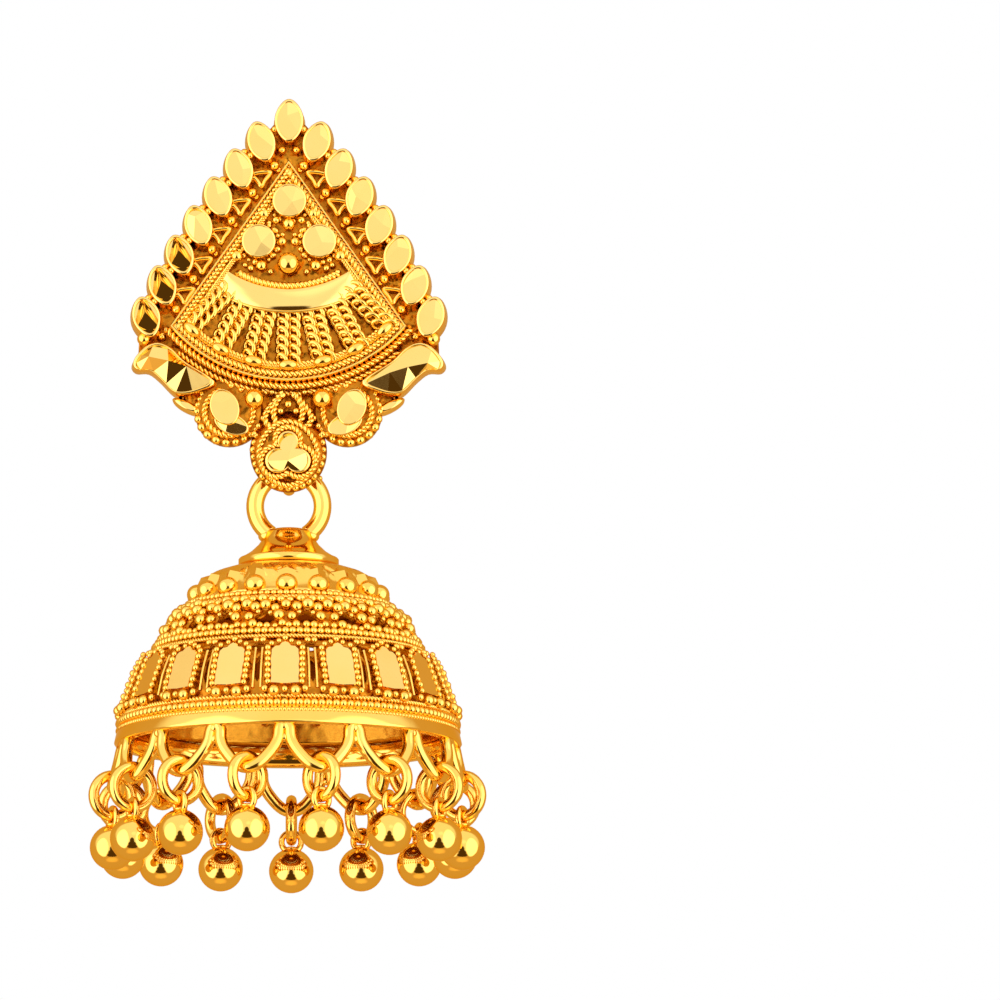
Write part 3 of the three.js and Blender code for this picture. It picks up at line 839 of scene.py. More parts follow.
STUD_BALLS = [(front(0, -2.74, 2.4), 0.66)]
STUD_BALLS += [(front(sign * 1.98, -10.6, 1.75), 0.57) for sign in (1, -1)]
STUD_BALLS += [(front(sign * 8.42, -7.0, 1.3), 0.42) for sign in (1, -1)]
piece("stud_balls", ball_shape(STUD_BALLS), "stud", burnished_gold)

# %% [markdown]
# ### Chain strands
# Fourteen strands of fine curb chain hang from the band, and each pair ends in an oval grain on the fan's foot.
# A link is a flattened ring, turned in place so that the chain reads as a plait.

# %% Chain tree
def chain_tree():
    tree, given = new_tree("curb_chain", Pitch=0.4, Length=0.66, Width=0.5, Wire=0.1, Roll=0.6, Slant=0.4)
    curve = add_node(tree, "GeometryNodeMeshToCurve", {"Mesh": given["Geometry"]}).outputs[0]
    row = add_node(tree, "GeometryNodeResampleCurve", {"Curve": curve, "Length": given["Pitch"]}, mode="LENGTH")
    loop = add_node(tree, "GeometryNodeCurvePrimitiveCircle", {"Resolution": 12, "Radius": 0.5}).outputs[0]
    size = add_node(tree, "ShaderNodeCombineXYZ", {
        "X": given["Length"], "Y": given["Width"], "Z": 1.0}).outputs[0]
    loop = add_node(tree, "GeometryNodeTransform", {"Geometry": loop, "Scale": size}).outputs[0]
    section = add_node(tree, "GeometryNodeCurvePrimitiveCircle", {"Resolution": 6, "Radius": given["Wire"]})
    link = add_node(tree, "GeometryNodeCurveToMesh", {
        "Curve": loop, "Profile Curve": section.outputs[0]}).outputs[0]
    tangent = add_node(tree, "GeometryNodeInputTangent").outputs[0]
    along = add_node(tree, "FunctionNodeAxesToRotation", {0: tangent, 1: (0.0, -1.0, 0.0)},
                     primary_axis="X", secondary_axis="Z").outputs[0]
    local = add_node(tree, "ShaderNodeCombineXYZ", {"X": given["Roll"], "Z": given["Slant"]}).outputs[0]
    rotation = add_node(tree, "FunctionNodeRotateRotation", {0: along, 1: local},
                        rotation_space="LOCAL").outputs[0]
    links = add_node(tree, "GeometryNodeInstanceOnPoints", {
        "Points": row.outputs[0], "Instance": link, "Rotation": rotation}).outputs[0]
    return close_tree(tree, given, links)


def strands():
    """Paths of the chains, and the oval grains that each pair ends in."""
    paths, grains = [], []
    for pair in range(-3, 4):
        turn = math.radians(13.6 * pair)
        end = Vector((8.6 * math.sin(turn), -0.23 - 8.6 * math.cos(turn)))
        top_turn = math.radians(10.4 * pair)
        for sign in (-1, 1):
            lean = top_turn + sign * math.radians(2.7)
            reach = BAND_RADIUS + 0.35
            top = Vector((reach * math.sin(lean), BAND_CENTRE - reach * math.cos(lean)))
            foot = end + Vector((sign * 0.36, 0.4))
            path = [top.lerp(foot, k / 8) for k in range(9)]
            bowed = [front(p.x, p.y, 2.2 + 0.12 * math.sin(math.pi * k / 8)) for k, p in enumerate(path)]
            paths.append((bowed, False))
        grains.append((end, turn))
    return paths, grains


curb_chain = chain_tree()
chain_paths, chain_ends = strands()
chain_sizes = {"Pitch": 0.46, "Length": 0.78, "Width": 0.6, "Wire": 0.145, "Roll": 0.6, "Slant": 0.5}
piece("fan_chains", grow(path_mesh(chain_paths), curb_chain, granule_gold, **chain_sizes), "stud")


def end_grains():
    shape = bmesh.new()
    for end, turn in chain_ends:
        place = Matrix.Translation(front(end.x, end.y + 0.08, 2.5)) @ Matrix.Rotation(-turn, 4, "Y")
        place = place @ Matrix.Diagonal((0.56, 0.34, 0.32, 1))
        bmesh.ops.create_uvsphere(shape, u_segments=20, v_segments=12, radius=1, matrix=place)
    for face in shape.faces:
        face.smooth = True
    return shape


piece("chain_end_grains", end_grains(), "stud", burnished_gold)

# %% [markdown]
# ### Leaves, scallops and the trefoil
# The two leaves sweep in under the petals. The scallops carry cut lobes inside a rope and a row of granules
# that grow towards the outside. The trefoil in the middle is cut with facets that all meet at its waist.

# %% Leaves
LEAF = [(4.3, -9.61), (5.2, -10.18), (6.12, -10.37), (6.75, -10.18), (7.45, -9.47), (8.08, -8.98),
        (8.75, -8.95), (9.03, -8.62), (8.85, -8.12), (8.3, -7.56), (7.6, -7.34), (6.82, -7.67), (5.98, -8.48)]


def leaves():
    shape = bmesh.new()
    for sign in (1, -1):
        outline = rounded(LEAF, 4)
        outline = outline if sign > 0 else mirrored(outline)
        lift, high = (0.0, 0.0) if sign > 0 else (0.34, 0.22)
        ridge = [(sign * -1.25, lift - 0.25, 2.16 + high), (sign * -0.2, lift + 0.05, 2.34 + high),
                 (sign * 0.95, lift + 0.3, 2.26 + high)]
        facets, turn = (11, 0.3) if sign > 0 else (11, 0.75)
        cut_face(shape, outline, 0.45, 2.0, 2.3, facets, turn, flare=0.14, lip=0.14, ridge=ridge)
        sliver = oval(sign * 5.9, -10.95, 0.62, 1.9, lean=sign * -28, count=28)
        stack(shape, [(sliver, 0.4), (grown(sliver, 0.02), 0.9), (grown(sliver, -0.15), 1.15),
                      (grown(sliver, -0.35), 1.25)])
    return shape


piece("leaves", leaves(), "stud", cut_gold)


# %% Scallops
GRANULE_CIRCLE = 1.86
CENTRE_ROW_TOP = -12.6


def lobes():
    shape = bmesh.new()
    table = [  # dx, dz, length, width, lean, facets, rim
        (0.25, 0.12, 2.2, 1.66, 22, 3, 1.95),
        (-0.15, -0.86, 1.2, 2.1, -22, 3, 1.8),
    ]
    for sign in (1, -1):
        for dx, dz, length, width, lean, facets, rim in table:
            outline = oval(sign * (SCALLOP.x + dx), SCALLOP.y + dz, length, width, lean=sign * lean, point=0.08)
            peak = rim + 0.05 * width - 0.08
            cut_face(shape, outline, 0.7, rim, peak, facets, turn=0.2, apex=(sign * 0.2, 0.2), flare=0.06,
                     lip=0.08)
    return shape


def trefoil_outline(grow_by=0.0):
    """Three round lobes: one up and two low, drawn as a radius that swells towards each lobe."""
    outline = []
    cx, cz = 0.0, -14.1
    for i in range(60):
        a = math.tau * i / 60
        reach = 0.0
        for lobe_x, lobe_z, size in ((0.0, 0.92, 0.6), (0.6, -0.22, 0.72), (-0.6, -0.22, 0.72)):
            along = lobe_x * math.cos(a) + lobe_z * math.sin(a)
            aside = -lobe_x * math.sin(a) + lobe_z * math.cos(a)
            if abs(aside) < size:
                reach = max(reach, along + math.sqrt(size ** 2 - aside ** 2))
        outline.append((cx + (reach + grow_by) * math.cos(a), cz + (reach + grow_by) * math.sin(a)))
    return outline


def trefoil():
    shape = bmesh.new()
    cut_face(shape, trefoil_outline(), 1.2, 2.2, 2.42, facets=6, turn=0.25, apex=(0, -0.3), flare=0.05,
             lip=0.12)
    return shape


piece("scallop_lobes", lobes(), "stud", cut_gold)
piece("trefoil", trefoil(), "stud", cut_gold)


def growing_granules(sign):
    """Granules round the outside of a side scallop, larger towards the outside of the stud."""
    spots = []
    angle = -30.0
    while angle > -215:
        share = min(max((angle + 215) / 185, 0), 1)
        radius = 0.15 + 0.14 * math.sin(math.pi * share)
        a = math.radians(angle + 62)
        x, z = SCALLOP.x + GRANULE_CIRCLE * math.cos(a), SCALLOP.y + GRANULE_CIRCLE * math.sin(a)
        spots.append((front(sign * x, z, 1.12), radius))
        angle -= math.degrees(radius * 2.05 / GRANULE_CIRCLE)
    return spots


scallop_ropes, scallop_granules = [], []
for sign in (1, -1):
    inner = [front(sign * (SCALLOP.x + 1.42 * math.cos(a)), SCALLOP.y - 0.1 + 1.38 * math.sin(a), 1.42)
             for a in (math.radians(d) for d in range(70, -230, -6))]
    scallop_ropes.append((inner, False))
    scallop_granules += growing_granules(sign)
    for wide, drop in ((0.55, 0.0), (1.05, -0.35)):  # ropes that run from the fan down into the centre petal
        sweep = []
        for t in (k / 14 for k in range(13)):
            swell = math.sin(math.pi * t)
            sweep.append(front(sign * (0.3 + wide * swell), -10.2 - 2.4 * t + drop * swell, 1.5 + 0.15 * t))
        scallop_ropes.append((sweep, False))
petal_loops = [(in_front(trefoil_outline(0.26), 1.95), True)]
outer_loop = oval(0, -13.85, 3.75, 3.35, point=0.12, count=60)
piece("lower_ropes", join([rope_along(scallop_ropes, 0.11), rope_along(petal_loops, 0.1),
                           rope_along([(in_front(outer_loop, 1.72), True)], 0.11)]), "stud", granule_gold)
rim_row = oval(0, CENTRE_SCALLOP.y, 4.42, 4.1, count=60)
rim_row = [(x, z) for x, z in rim_row if z < CENTRE_ROW_TOP]
rim_row.sort(key=lambda p: math.atan2(p[1] - CENTRE_ROW_TOP, p[0]))
scallop_fill = [(front(sign * x, z, d), r) for sign in (1, -1) for x, z, d, r in (
    (0.35, -10.35, 1.45, 0.24), (0.95, -10.15, 1.3, 0.2), (1.25, -11.25, 1.4, 0.2), (1.45, -11.7, 1.35, 0.22),
    (1.75, -12.15, 1.3, 0.2), (2.0, -12.6, 1.2, 0.22), (0.45, -11.3, 1.5, 0.2), (0.0, -10.9, 1.5, 0.24),
    (2.75, -10.0, 1.2, 0.2), (3.35, -9.75, 1.15, 0.22), (1.3, -10.0, 1.15, 0.18), (4.35, -9.7, 1.2, 0.18))]
piece("lower_granules", join([granules_at(scallop_granules + scallop_fill),
                              granules_along([(in_front(rim_row, 1.2), False)], 0.2, 0.41, 0.12, seed=8)]),
      "stud", granule_gold)

# %% [markdown]
# ### Eye and post
# The drop hangs in a stout eye soldered behind the centre scallop. The post is plain, with a screw cut on its
# far half and a round nut run on it, knurled so that fingers can turn it.

# %% Eye
EYE_RADIUS, EYE_WIRE, EYE_BOTTOM = 1.2, 0.38, -15.9


def torus(shape, centre, radius, wire, turn=None, around=36, section=14, gap=0.0, start=0.0):
    """A ring of round wire about local Z, or part of one when gap degrees are left out."""
    span = math.tau - math.radians(gap)
    closed = gap == 0
    count = around if closed else around + 1
    rings = []
    for i in range(count):
        a = math.radians(start) + span * i / around
        out = Vector((math.cos(a), math.sin(a), 0))
        ring = []
        for j in range(section):
            b = math.tau * j / section
            point = out * (radius + wire * math.cos(b)) + Vector((0, 0, wire * math.sin(b)))
            ring.append(shape.verts.new(centre + (turn @ point if turn else point)))
        rings.append(ring)
    pairs = list(zip(rings, rings[1:])) + ([(rings[-1], rings[0])] if closed else [])
    for a_ring, b_ring in pairs:
        for j in range(section):
            k = (j + 1) % section
            shape.faces.new((a_ring[j], b_ring[j], b_ring[k], a_ring[k])).smooth = True
    if not closed:
        shape.faces.new(rings[0])
        shape.faces.new(list(reversed(rings[-1])))


def eye():
    shape = bmesh.new()
    centre = Vector((0, AXIS.y, EYE_BOTTOM + EYE_WIRE + EYE_RADIUS))
    torus(shape, centre, EYE_RADIUS, EYE_WIRE, Matrix.Rotation(math.pi / 2, 3, "Y"))
    return shape


piece("hanging_eye", eye(), "stud", burnished_gold)


# %% Post
KNURL = 0.965


def spun(shape, profile, axis="Y", centre=Vector(), segments=48, smooth=True):
    """Turn a profile of (radius, along) points about an axis; ends at radius 0 close it."""
    rings = []
    for radius, along in profile:
        if radius < 1e-6:
            point = Vector((0, along, 0)) if axis == "Y" else Vector((0, 0, along))
            rings.append([shape.verts.new(centre + point)])
            continue
        ring = []
        for i in range(segments):
            a = math.tau * i / segments
            x, y = radius * math.cos(a), radius * math.sin(a)
            offset = Vector((x, along, y)) if axis == "Y" else Vector((x, y, along))
            ring.append(shape.verts.new(centre + offset))
        rings.append(ring)
    for lower, upper in zip(rings, rings[1:]):
        for i in range(segments):
            j = (i + 1) % segments
            corners = [lower[i % len(lower)], lower[j % len(lower)],
                       upper[j % len(upper)], upper[i % len(upper)]]
            unique = list(dict.fromkeys(corners))
            if len(unique) > 2:
                shape.faces.new(unique).smooth = smooth
    return rings


def post():
    shape = bmesh.new()
    thread = [(0.45 - (0.07 if k % 2 else 0.0), 3.6 + 0.16 * k) for k in range(9)]
    tail = [(0.45 - (0.07 if k % 2 else 0.0), 7.95 + 0.16 * k) for k in range(15)]
    root = [(0, 0.06), (0.42, 0.06), (0.45, 0.2), (0.45, 3.5)]
    nut_face = [(0.44, 5.1), (2.3, 5.1), (2.4, 5.16), (2.46, 5.3)]
    nut_rim = [(2.62, 5.32), (2.68, 5.42), (2.68, 6.58), (2.62, 6.68)]
    nut_back = [(2.46, 6.7), (2.4, 6.84), (2.3, 6.9), (1.36, 6.9)]
    neck = [(1.28, 7.0), (1.28, 7.8), (1.2, 7.9), (0.45, 7.9)]
    tip = [(0.44, 10.3), (0.38, 10.45), (0, 10.5)]
    rings = spun(shape, [*root, *thread, *nut_face, *nut_rim, *nut_back, *neck, *tail, *tip], segments=72)
    for ring in rings:  # the knurl: every second rib of the nut's rim stands a little lower
        radius = max((v.co.x ** 2 + v.co.z ** 2) ** 0.5 for v in ring) if len(ring) > 1 else 0
        if radius > 2.6:
            for i, vert in enumerate(ring):
                if i % 2:
                    vert.co.x *= KNURL
                    vert.co.z *= KNURL
    return shape


post_piece = piece("screw_post", post(), "stud", burnished_gold, replaces=["ear_post"])

# %% [markdown]
# ## The drop
# The bell hangs from a stout ring soldered to a flared collar. Its wall is pierced, and carries rings of
# granules and upright polished plaques. Everything is measured from the bell's own axis.

# %% Loop and collar
LOOP_RADIUS, LOOP_WIRE, LOOP_PLAY = 1.97, 0.52, 0.05
PIVOT_Z = EYE_BOTTOM + 2 * EYE_WIRE + LOOP_PLAY + LOOP_WIRE
LOOP_Z = PIVOT_Z - LOOP_RADIUS


def loop_and_collar():
    shape = bmesh.new()
    torus(shape, AXIS + Vector((0, 0, LOOP_Z)), LOOP_RADIUS, LOOP_WIRE, Matrix.Rotation(math.pi / 2, 3, "X"),
          around=48, section=18, gap=64, start=-58)
    for sign in (1, -1):  # the solder that fills in round each foot of the loop
        centre = AXIS + Vector((sign * 1.16, 0, LOOP_Z - 1.78))
        bmesh.ops.create_uvsphere(shape, u_segments=20, v_segments=12, radius=0.66,
                                  matrix=Matrix.Translation(centre) @ Matrix.Diagonal((0.95, 0.9, 0.62, 1)))
    nub = AXIS + Vector((math.cos(0.75), 0, math.sin(0.75))) * (LOOP_RADIUS + 0.44) + Vector((0, 0, LOOP_Z))
    bmesh.ops.create_uvsphere(shape, u_segments=12, v_segments=8, radius=0.2, matrix=Matrix.Translation(nub))
    profile = [(0, -17.88), (0.9, -17.9), (1.24, -17.98), (1.36, -18.12), (1.5, -18.45), (1.78, -18.85),
               (2.2, -19.25), (2.62, -19.52), (2.86, -19.62), (2.93, -19.7), (2.93, -20.0), (2.86, -20.08),
               (2.5, -20.1), (0, -20.1)]
    spun(shape, profile, axis="Z", centre=AXIS, segments=64)
    for face in shape.faces:
        face.smooth = True
    return shape


piece("loop_and_collar", loop_and_collar(), "drop", burnished_gold)

# %% [markdown]
# ### Pierced wall
# The wall is a grid turned round the axis. Faces inside an opening are left out, and the corners round each
# opening are slid onto its edge so it looks sawn and not stepped. The crown is pressed into twelve leaves.

# %% Bell wall
BELL = [(2.3, -20.06), (3.3, -20.2), (4.1, -20.5), (4.85, -21.2), (5.45, -22.05), (6.15, -22.85),
        (6.85, -23.75), (7.35, -24.6), (7.6, -25.0), (7.72, -25.25), (8.2, -25.75), (8.7, -26.6), (9.1, -27.6),
        (9.36, -28.6), (9.5, -29.3)]
OPENINGS = [  # z, half height, half width, degrees to the first, count
    (-24.05, 0.46, 0.62, 10.0, 18),
    (-25.95, 0.3, 0.36, 10.0, 18),
    (-27.35, 0.8, 0.18, 10.0, 18),
]
COLUMNS = 360
WALL = 0.42


def bell_profile(step=0.2):
    """The wall's outside as evenly spaced (radius, z)."""
    lengths = [0.0]
    for (r1, z1), (r2, z2) in zip(BELL, BELL[1:]):
        lengths.append(lengths[-1] + math.hypot(r2 - r1, z2 - z1))
    rows = int(lengths[-1] / step)
    profile = []
    for k in range(rows + 1):
        s = lengths[-1] * k / rows
        i = max(j for j in range(len(BELL) - 1) if lengths[j] <= s + 1e-9)
        t = (s - lengths[i]) / (lengths[i + 1] - lengths[i])
        (r1, z1), (r2, z2) = BELL[i], BELL[i + 1]
        profile.append((r1 + t * (r2 - r1), z1 + t * (z2 - z1)))
    return profile


def opening_at(turn, radius, z):
    """The opening nearest to a place on the wall: how far out it is (1 at the edge), its centre and turn."""
    best = (9.0, None)
    for z0, half_z, half_w, first, count in OPENINGS:
        pitch = 360 / count
        off = (math.degrees(turn) - first + pitch / 2) % pitch - pitch / 2
        reach = math.hypot(math.radians(off) * radius / half_w, (z - z0) / half_z)
        if reach < best[0]:
            best = (reach, (math.radians(off), z0))
    return best


def bell_wall(top, bottom, outside, inside):
    """The part of the wall between two heights, with its own finish outside and one inside painted darker for
    shade.
    """
    shape = bmesh.new()
    profile = [(r, z) for r, z in bell_profile() if bottom <= z <= top]
    grid = []
    for r, z in profile:
        row = []
        for c in range(COLUMNS):
            turn = math.tau * c / COLUMNS
            leaf = abs(math.sin(turn * 6)) ** 0.5
            fold = math.sin(turn * 42 + 9 * z) * math.sin(turn * 15)
            press = (0.34 * leaf + 0.09 * fold) * max(0.0, 1 - abs(z + 20.85) / 0.7) if z > -22 else 0.0
            row.append([turn, r + press, z])
        grid.append(row)
    keep = [[opening_at(turn + math.pi / COLUMNS, r, (z + grid[min(k + 1, len(grid) - 1)][c][2]) / 2)[0] > 1
             for c, (turn, r, z) in enumerate(row)] for k, row in enumerate(grid)]
    for k in range(1, len(grid) - 1):
        for c in range(COLUMNS):
            around = [keep[k][c], keep[k - 1][c], keep[k][c - 1], keep[k - 1][c - 1]]
            if any(around) and not all(around):
                turn, r, z = grid[k][c]
                reach, (off, z0) = opening_at(turn, r, z)
                if 0.3 < reach < 1.9:
                    grid[k][c] = [turn - off + off / reach, r, z0 + (z - z0) / reach]
    verts = [[shape.verts.new(AXIS + Vector((r * math.sin(t), -r * math.cos(t), z))) for t, r, z in row]
             for row in grid]
    for k in range(len(grid) - 1):
        for c in range(COLUMNS):
            if keep[k][c]:
                d = (c + 1) % COLUMNS
                shape.faces.new((verts[k][c], verts[k + 1][c], verts[k + 1][d], verts[k][d])).smooth = True
    loose = [v for v in shape.verts if not v.link_faces]
    bmesh.ops.delete(shape, geom=loose, context="VERTS")
    mesh = bpy.data.meshes.new("wall")
    shape.to_mesh(mesh)
    shape.free()
    mesh.materials.append(outside)
    mesh.materials.append(inside)
    obj = bpy.data.objects.new("wall", mesh)
    bpy.context.scene.collection.objects.link(obj)
    wall = obj.modifiers.new("thickness", "SOLIDIFY")
    wall.thickness = WALL
    wall.offset = -1
    wall.material_offset = 1
    return plain_mesh(obj)


CROWN_FOOT, SKIRT_TOP = -22.3, -26.0
# The outside of the lower walls is the ground's gold, painted shade; inside, half shade is painted near the
# mouth and deep shade above.
piece("bell_wall", bell_wall(SKIRT_TOP + 0.1, -29.4, shaded_ground_gold, inside_gold), "drop", replaces=["bell"])
piece("pierced_wall", bell_wall(CROWN_FOOT + 0.1, SKIRT_TOP, shaded_ground_gold, shade_gold), "drop")
piece("bell_crown", bell_wall(-20.0, CROWN_FOOT, pressed_gold, shade_gold), "drop")


# %% [markdown]
# ### Rim and raised rings
# A plain flange closes the mouth of the bell, under two rows of granules. Higher up a beaded wire separates
# the plaques from the pierced crown.

# %% Rim and rings
def rim():
    shape = bmesh.new()
    profile = [(9.2, -29.15), (9.62, -29.1), (9.9, -29.72), (9.96, -29.8), (10.1, -30.45), (10.12, -30.55),
               (10.06, -30.64), (9.6, -30.65), (9.32, -30.6), (9.2, -30.4), (9.1, -29.6), (9.2, -29.15)]
    spun(shape, profile, axis="Z", centre=AXIS, segments=180)
    return shape


def ring_path(radius, z, steps=180):
    turns = [math.tau * i / steps for i in range(steps)]
    return ([AXIS + Vector((radius * math.sin(a), -radius * math.cos(a), z)) for a in turns], True)


piece("bell_rim", rim(), "drop", burnished_gold)
bead_rings = [
    granules_along([ring_path(9.82, -29.42)], 0.25, 0.43, 0.05),
    granules_along([ring_path(9.92, -29.84)], 0.13, 0.24, 0.05),
    granules_along([ring_path(7.78, -24.98)], 0.23, 0.41, 0.06),
    granules_along([ring_path(5.92, -22.5)], 0.2, 0.37, 0.12),
]
piece("bell_bead_rings", join(bead_rings), "drop", granule_gold)
bell_ropes = [
    rope_along([ring_path(7.98, -25.32)], 0.075),
    rope_along([ring_path(9.62, -29.02)], 0.085),
    rope_along([ring_path(6.22, -22.78)], 0.08),
]
piece("bell_ropes", join(bell_ropes), "drop", granule_gold)


# %% [markdown]
# ### Plaques
# Eighteen upright plaques, each a flat cut window with a stepped, pointed top. Granules run down both
# sides and two larger ones carry it. One plaque is drawn at the front and copied round.

# %% One plaque
PLAQUES = 18
PLAQUE_TOP, PLAQUE_BOTTOM = -25.72, -28.35
PLAQUE_TOP_RADIUS, PLAQUE_BOTTOM_RADIUS = 8.72, 9.72


def on_plaque(x, z, out=0.0):
    """A point of the front plaque's leaning plane, before it is turned round the axis."""
    share = (PLAQUE_TOP - z) / (PLAQUE_TOP - PLAQUE_BOTTOM)
    return Vector((x, -(PLAQUE_TOP_RADIUS + share * (PLAQUE_BOTTOM_RADIUS - PLAQUE_TOP_RADIUS) + out), z))


def plaque():
    shape = bmesh.new()
    half = [(0.84, PLAQUE_BOTTOM + 0.06), (0.8, -27.95), (0.85, -27.6), (0.8, -27.25), (0.85, -26.9),
            (0.8, -26.5), (0.78, -26.2), (0.6, -26.02), (0.34, -25.98), (0.2, -25.8)]
    outline = [(0.0, PLAQUE_BOTTOM)] + half + [(0.0, PLAQUE_TOP)] + [(-x, z) for x, z in reversed(half)]
    layers = [(1.0, -0.75), (1.0, -0.04), (0.97, 0.02)]
    cz = (PLAQUE_TOP + PLAQUE_BOTTOM) / 2
    rings = [[shape.verts.new(on_plaque(x * k, cz + (z - cz) * k, out)) for x, z in outline]
             for k, out in layers]
    for lower, upper in zip(rings, rings[1:]):
        for i in range(len(outline)):
            j = (i + 1) % len(outline)
            shape.faces.new((lower[i], lower[j], upper[j], upper[i]))
    shape.faces.new(rings[0])
    shape.faces.new(rings[-1])
    return mesh_of(shape)


piece("plaques", repeat_round(plaque(), PLAQUES, cut_gold), "drop")


def plaque_spots():
    spots = []
    for sign in (1, -1):
        for k in range(7):
            z = -26.12 - 0.345 * k
            place = on_plaque(sign * (1.0 + 0.03 * math.sin(3 * k)), z, -0.05 + 0.04 * (k % 2))
            spots.append((place, 0.185 + 0.02 * (k % 2)))
        spots.append((on_plaque(sign * 0.78, -25.86, -0.05), 0.17))
        spots.append((on_plaque(sign * 0.62, -28.74, 0.0), 0.33))
        spots.append((on_plaque(sign * 1.16, -28.6, -0.2), 0.22))
        spots.append((on_plaque(sign * 0.36, -25.7, -0.12), 0.16))
        spots.append((on_plaque(sign * 1.28, -25.62, -0.3), 0.2))
    spots.append((on_plaque(0, -28.66, 0.0), 0.2))
    spots.append((on_plaque(0, -25.52, -0.12), 0.19))
    return spots


def gap_wires():
    """Two thin upright wires in each gap between plaques."""
    paths = []
    for x in (0.2, -0.2):
        wire = [Vector((x, -8.62, -26.1)), Vector((x * 1.1, -9.1, -27.2)), Vector((x * 1.2, -9.42, -28.5))]
        paths.append((wire, False))
    return wire_along(paths, 0.09, 0.4, 8)


plaque_granules = repeat_round(granules_at(plaque_spots()), PLAQUES, granule_gold)
wires = repeat_round(gap_wires(), PLAQUES, granule_gold, 180 / PLAQUES)
piece("plaque_granules", plaque_granules, "drop")
piece("gap_wires", wires, "drop")

# %% [markdown]
# ### Crown granules
# Above the beaded wire the wall is pierced, and granules of three sizes are heaped round every opening.
# A ring of large hollow bosses crowns them.

# %% Crown granules
def wall_radius(z):
    for (r1, z1), (r2, z2) in zip(BELL, BELL[1:]):
        if z2 <= z <= z1:
            return r1 + (r2 - r1) * (z - z1) / (z2 - z1)
    return BELL[-1][0]


def crown_spots():
    """Granules heaped round two openings of the crown; turns are in degrees from between the two."""
    table = [  # turn, z, radius
        (0.0, -23.3, 0.33), (4.6, -23.5, 0.3), (10.0, -23.32, 0.36), (15.4, -23.48, 0.31),
        (3.3, -24.02, 0.33), (16.8, -24.0, 0.36), (4.8, -24.58, 0.27), (0.8, -24.66, 0.2),
        (8.4, -24.64, 0.22), (12.2, -24.62, 0.25), (15.9, -24.62, 0.21), (18.6, -24.5, 0.26),
        (2.3, -22.98, 0.24), (7.2, -22.95, 0.29), (12.6, -22.97, 0.25), (17.6, -22.93, 0.28),
        (13.2, -23.78, 0.17), (6.9, -23.72, 0.18),
    ]
    spots = []
    for unit in (0, 20):
        for k, (turn, z, radius) in enumerate(table):
            stray = math.sin(7.3 * k + unit)
            a = math.radians(turn + unit + 0.7 * stray)
            reach = wall_radius(z) + radius * (0.7 + 0.2 * stray)
            place = Vector((reach * math.sin(a), -reach * math.cos(a), z + 0.05 * stray))
            spots.append((place, radius * (1 + 0.1 * stray)))
    return spots


def boss_motif():
    """A hollow boss and the folded leaf above it: two facets that meet on a raised rib."""
    shape = bmesh.new()
    reach = wall_radius(-21.85) + 0.08
    place = Matrix.Translation((0, -reach, -21.9)) @ Matrix.Diagonal((1.3, 1.2, 1.2, 1))
    bmesh.ops.create_uvsphere(shape, u_segments=20, v_segments=14, radius=0.5, matrix=place)
    for face in shape.faces:
        face.smooth = True
    half = math.pi / PLAQUES
    rows = [(-20.62, 0.3, 0.04), (-21.1, 1.0, 0.42), (-21.62, 0.62, 0.3)]  # height, share of width, rib
    leaf = []
    for z, share, rib in rows:
        radius = wall_radius(z)
        turns = (-half * share, half * share)
        left, right = (Vector((radius * math.sin(a), -radius * math.cos(a), z)) for a in turns)
        inner = Vector((0, -(radius - 0.3), z - 0.15))
        raised = Vector((0, -(radius + rib), z + rib * 0.5))
        leaf.append([shape.verts.new(p) for p in (left, raised, right, inner)])
    for upper, lower in zip(leaf, leaf[1:]):
        for i in range(4):
            j = (i + 1) % 4
            shape.faces.new((upper[i], lower[i], lower[j], upper[j]))
    shape.faces.new(leaf[0])
    shape.faces.new(list(reversed(leaf[-1])))
    return mesh_of(shape)


piece("crown_granules", repeat_round(granules_at(crown_spots()), PLAQUES // 2, granule_gold), "drop")
piece("crown_bosses", repeat_round(boss_motif(), PLAQUES, burnished_gold), "drop")

# %% [markdown]
# ### Swags, rings and beads
# Fifteen swags of stout wire hang from the rim. A jump ring is closed on each, and a hollow ball hangs from
# the ring by a small bail. The rings turn as they please, so each copy is given its own turn.

# %% Swags
SWAG_WIRE = 0.36
SWAG_LINE = [(1.72, -30.3), (1.72, -30.95), (1.69, -31.5), (1.5, -31.98), (1.18, -32.42), (0.82, -32.82),
             (0.42, -33.1), (0.0, -33.2)]
SOLDER_RADIUS = 9.66  # how far from the axis the swags are soldered to the rim


def swag_path():
    """Down beside the neighbouring swag, round the bottom and up to the next solder joint."""
    line = SWAG_LINE + [(-x, z) for x, z in reversed(SWAG_LINE[:-1])]
    points = []
    for x, z in rounded(line, 4)[:-4]:
        share = min(max((-30.45 - z) / 2.75, 0), 1)
        reach = SOLDER_RADIUS + (DROP_CIRCLE - SOLDER_RADIUS) * share
        points.append(Vector((x, -math.sqrt(reach ** 2 - x ** 2), z)))
    return points


swag = wire_along([(swag_path(), False)], SWAG_WIRE, 0.2, 14)
blob = granules_at([(Vector((2.01, -9.6, -30.8)), 0.3), (Vector((2.02, -9.62, -31.45)), 0.27)], 3)
swag_mesh = bpy.data.meshes.new("swag")
joined = join([swag, blob])
joined.to_mesh(swag_mesh)
piece("swags", repeat_round(swag_mesh, DROPS, burnished_gold, 180 / DROPS), "drop")


# %% Rings and beads
def swag_turn(i):
    return (i + 0.5) / DROPS * math.tau


def ring_twist(i):
    """How far a jump ring is turned out of the radial plane, as in the solid model."""
    turn = swag_turn(i)
    if abs(math.sin(turn)) < 1e-6:
        return 0.0
    side = 1 if math.sin(turn) >= 0 else -1
    facing = max(math.cos(turn), 0)
    return side * (math.radians(32) * facing - math.radians(25) * (1 - facing) * abs(math.sin(turn)))


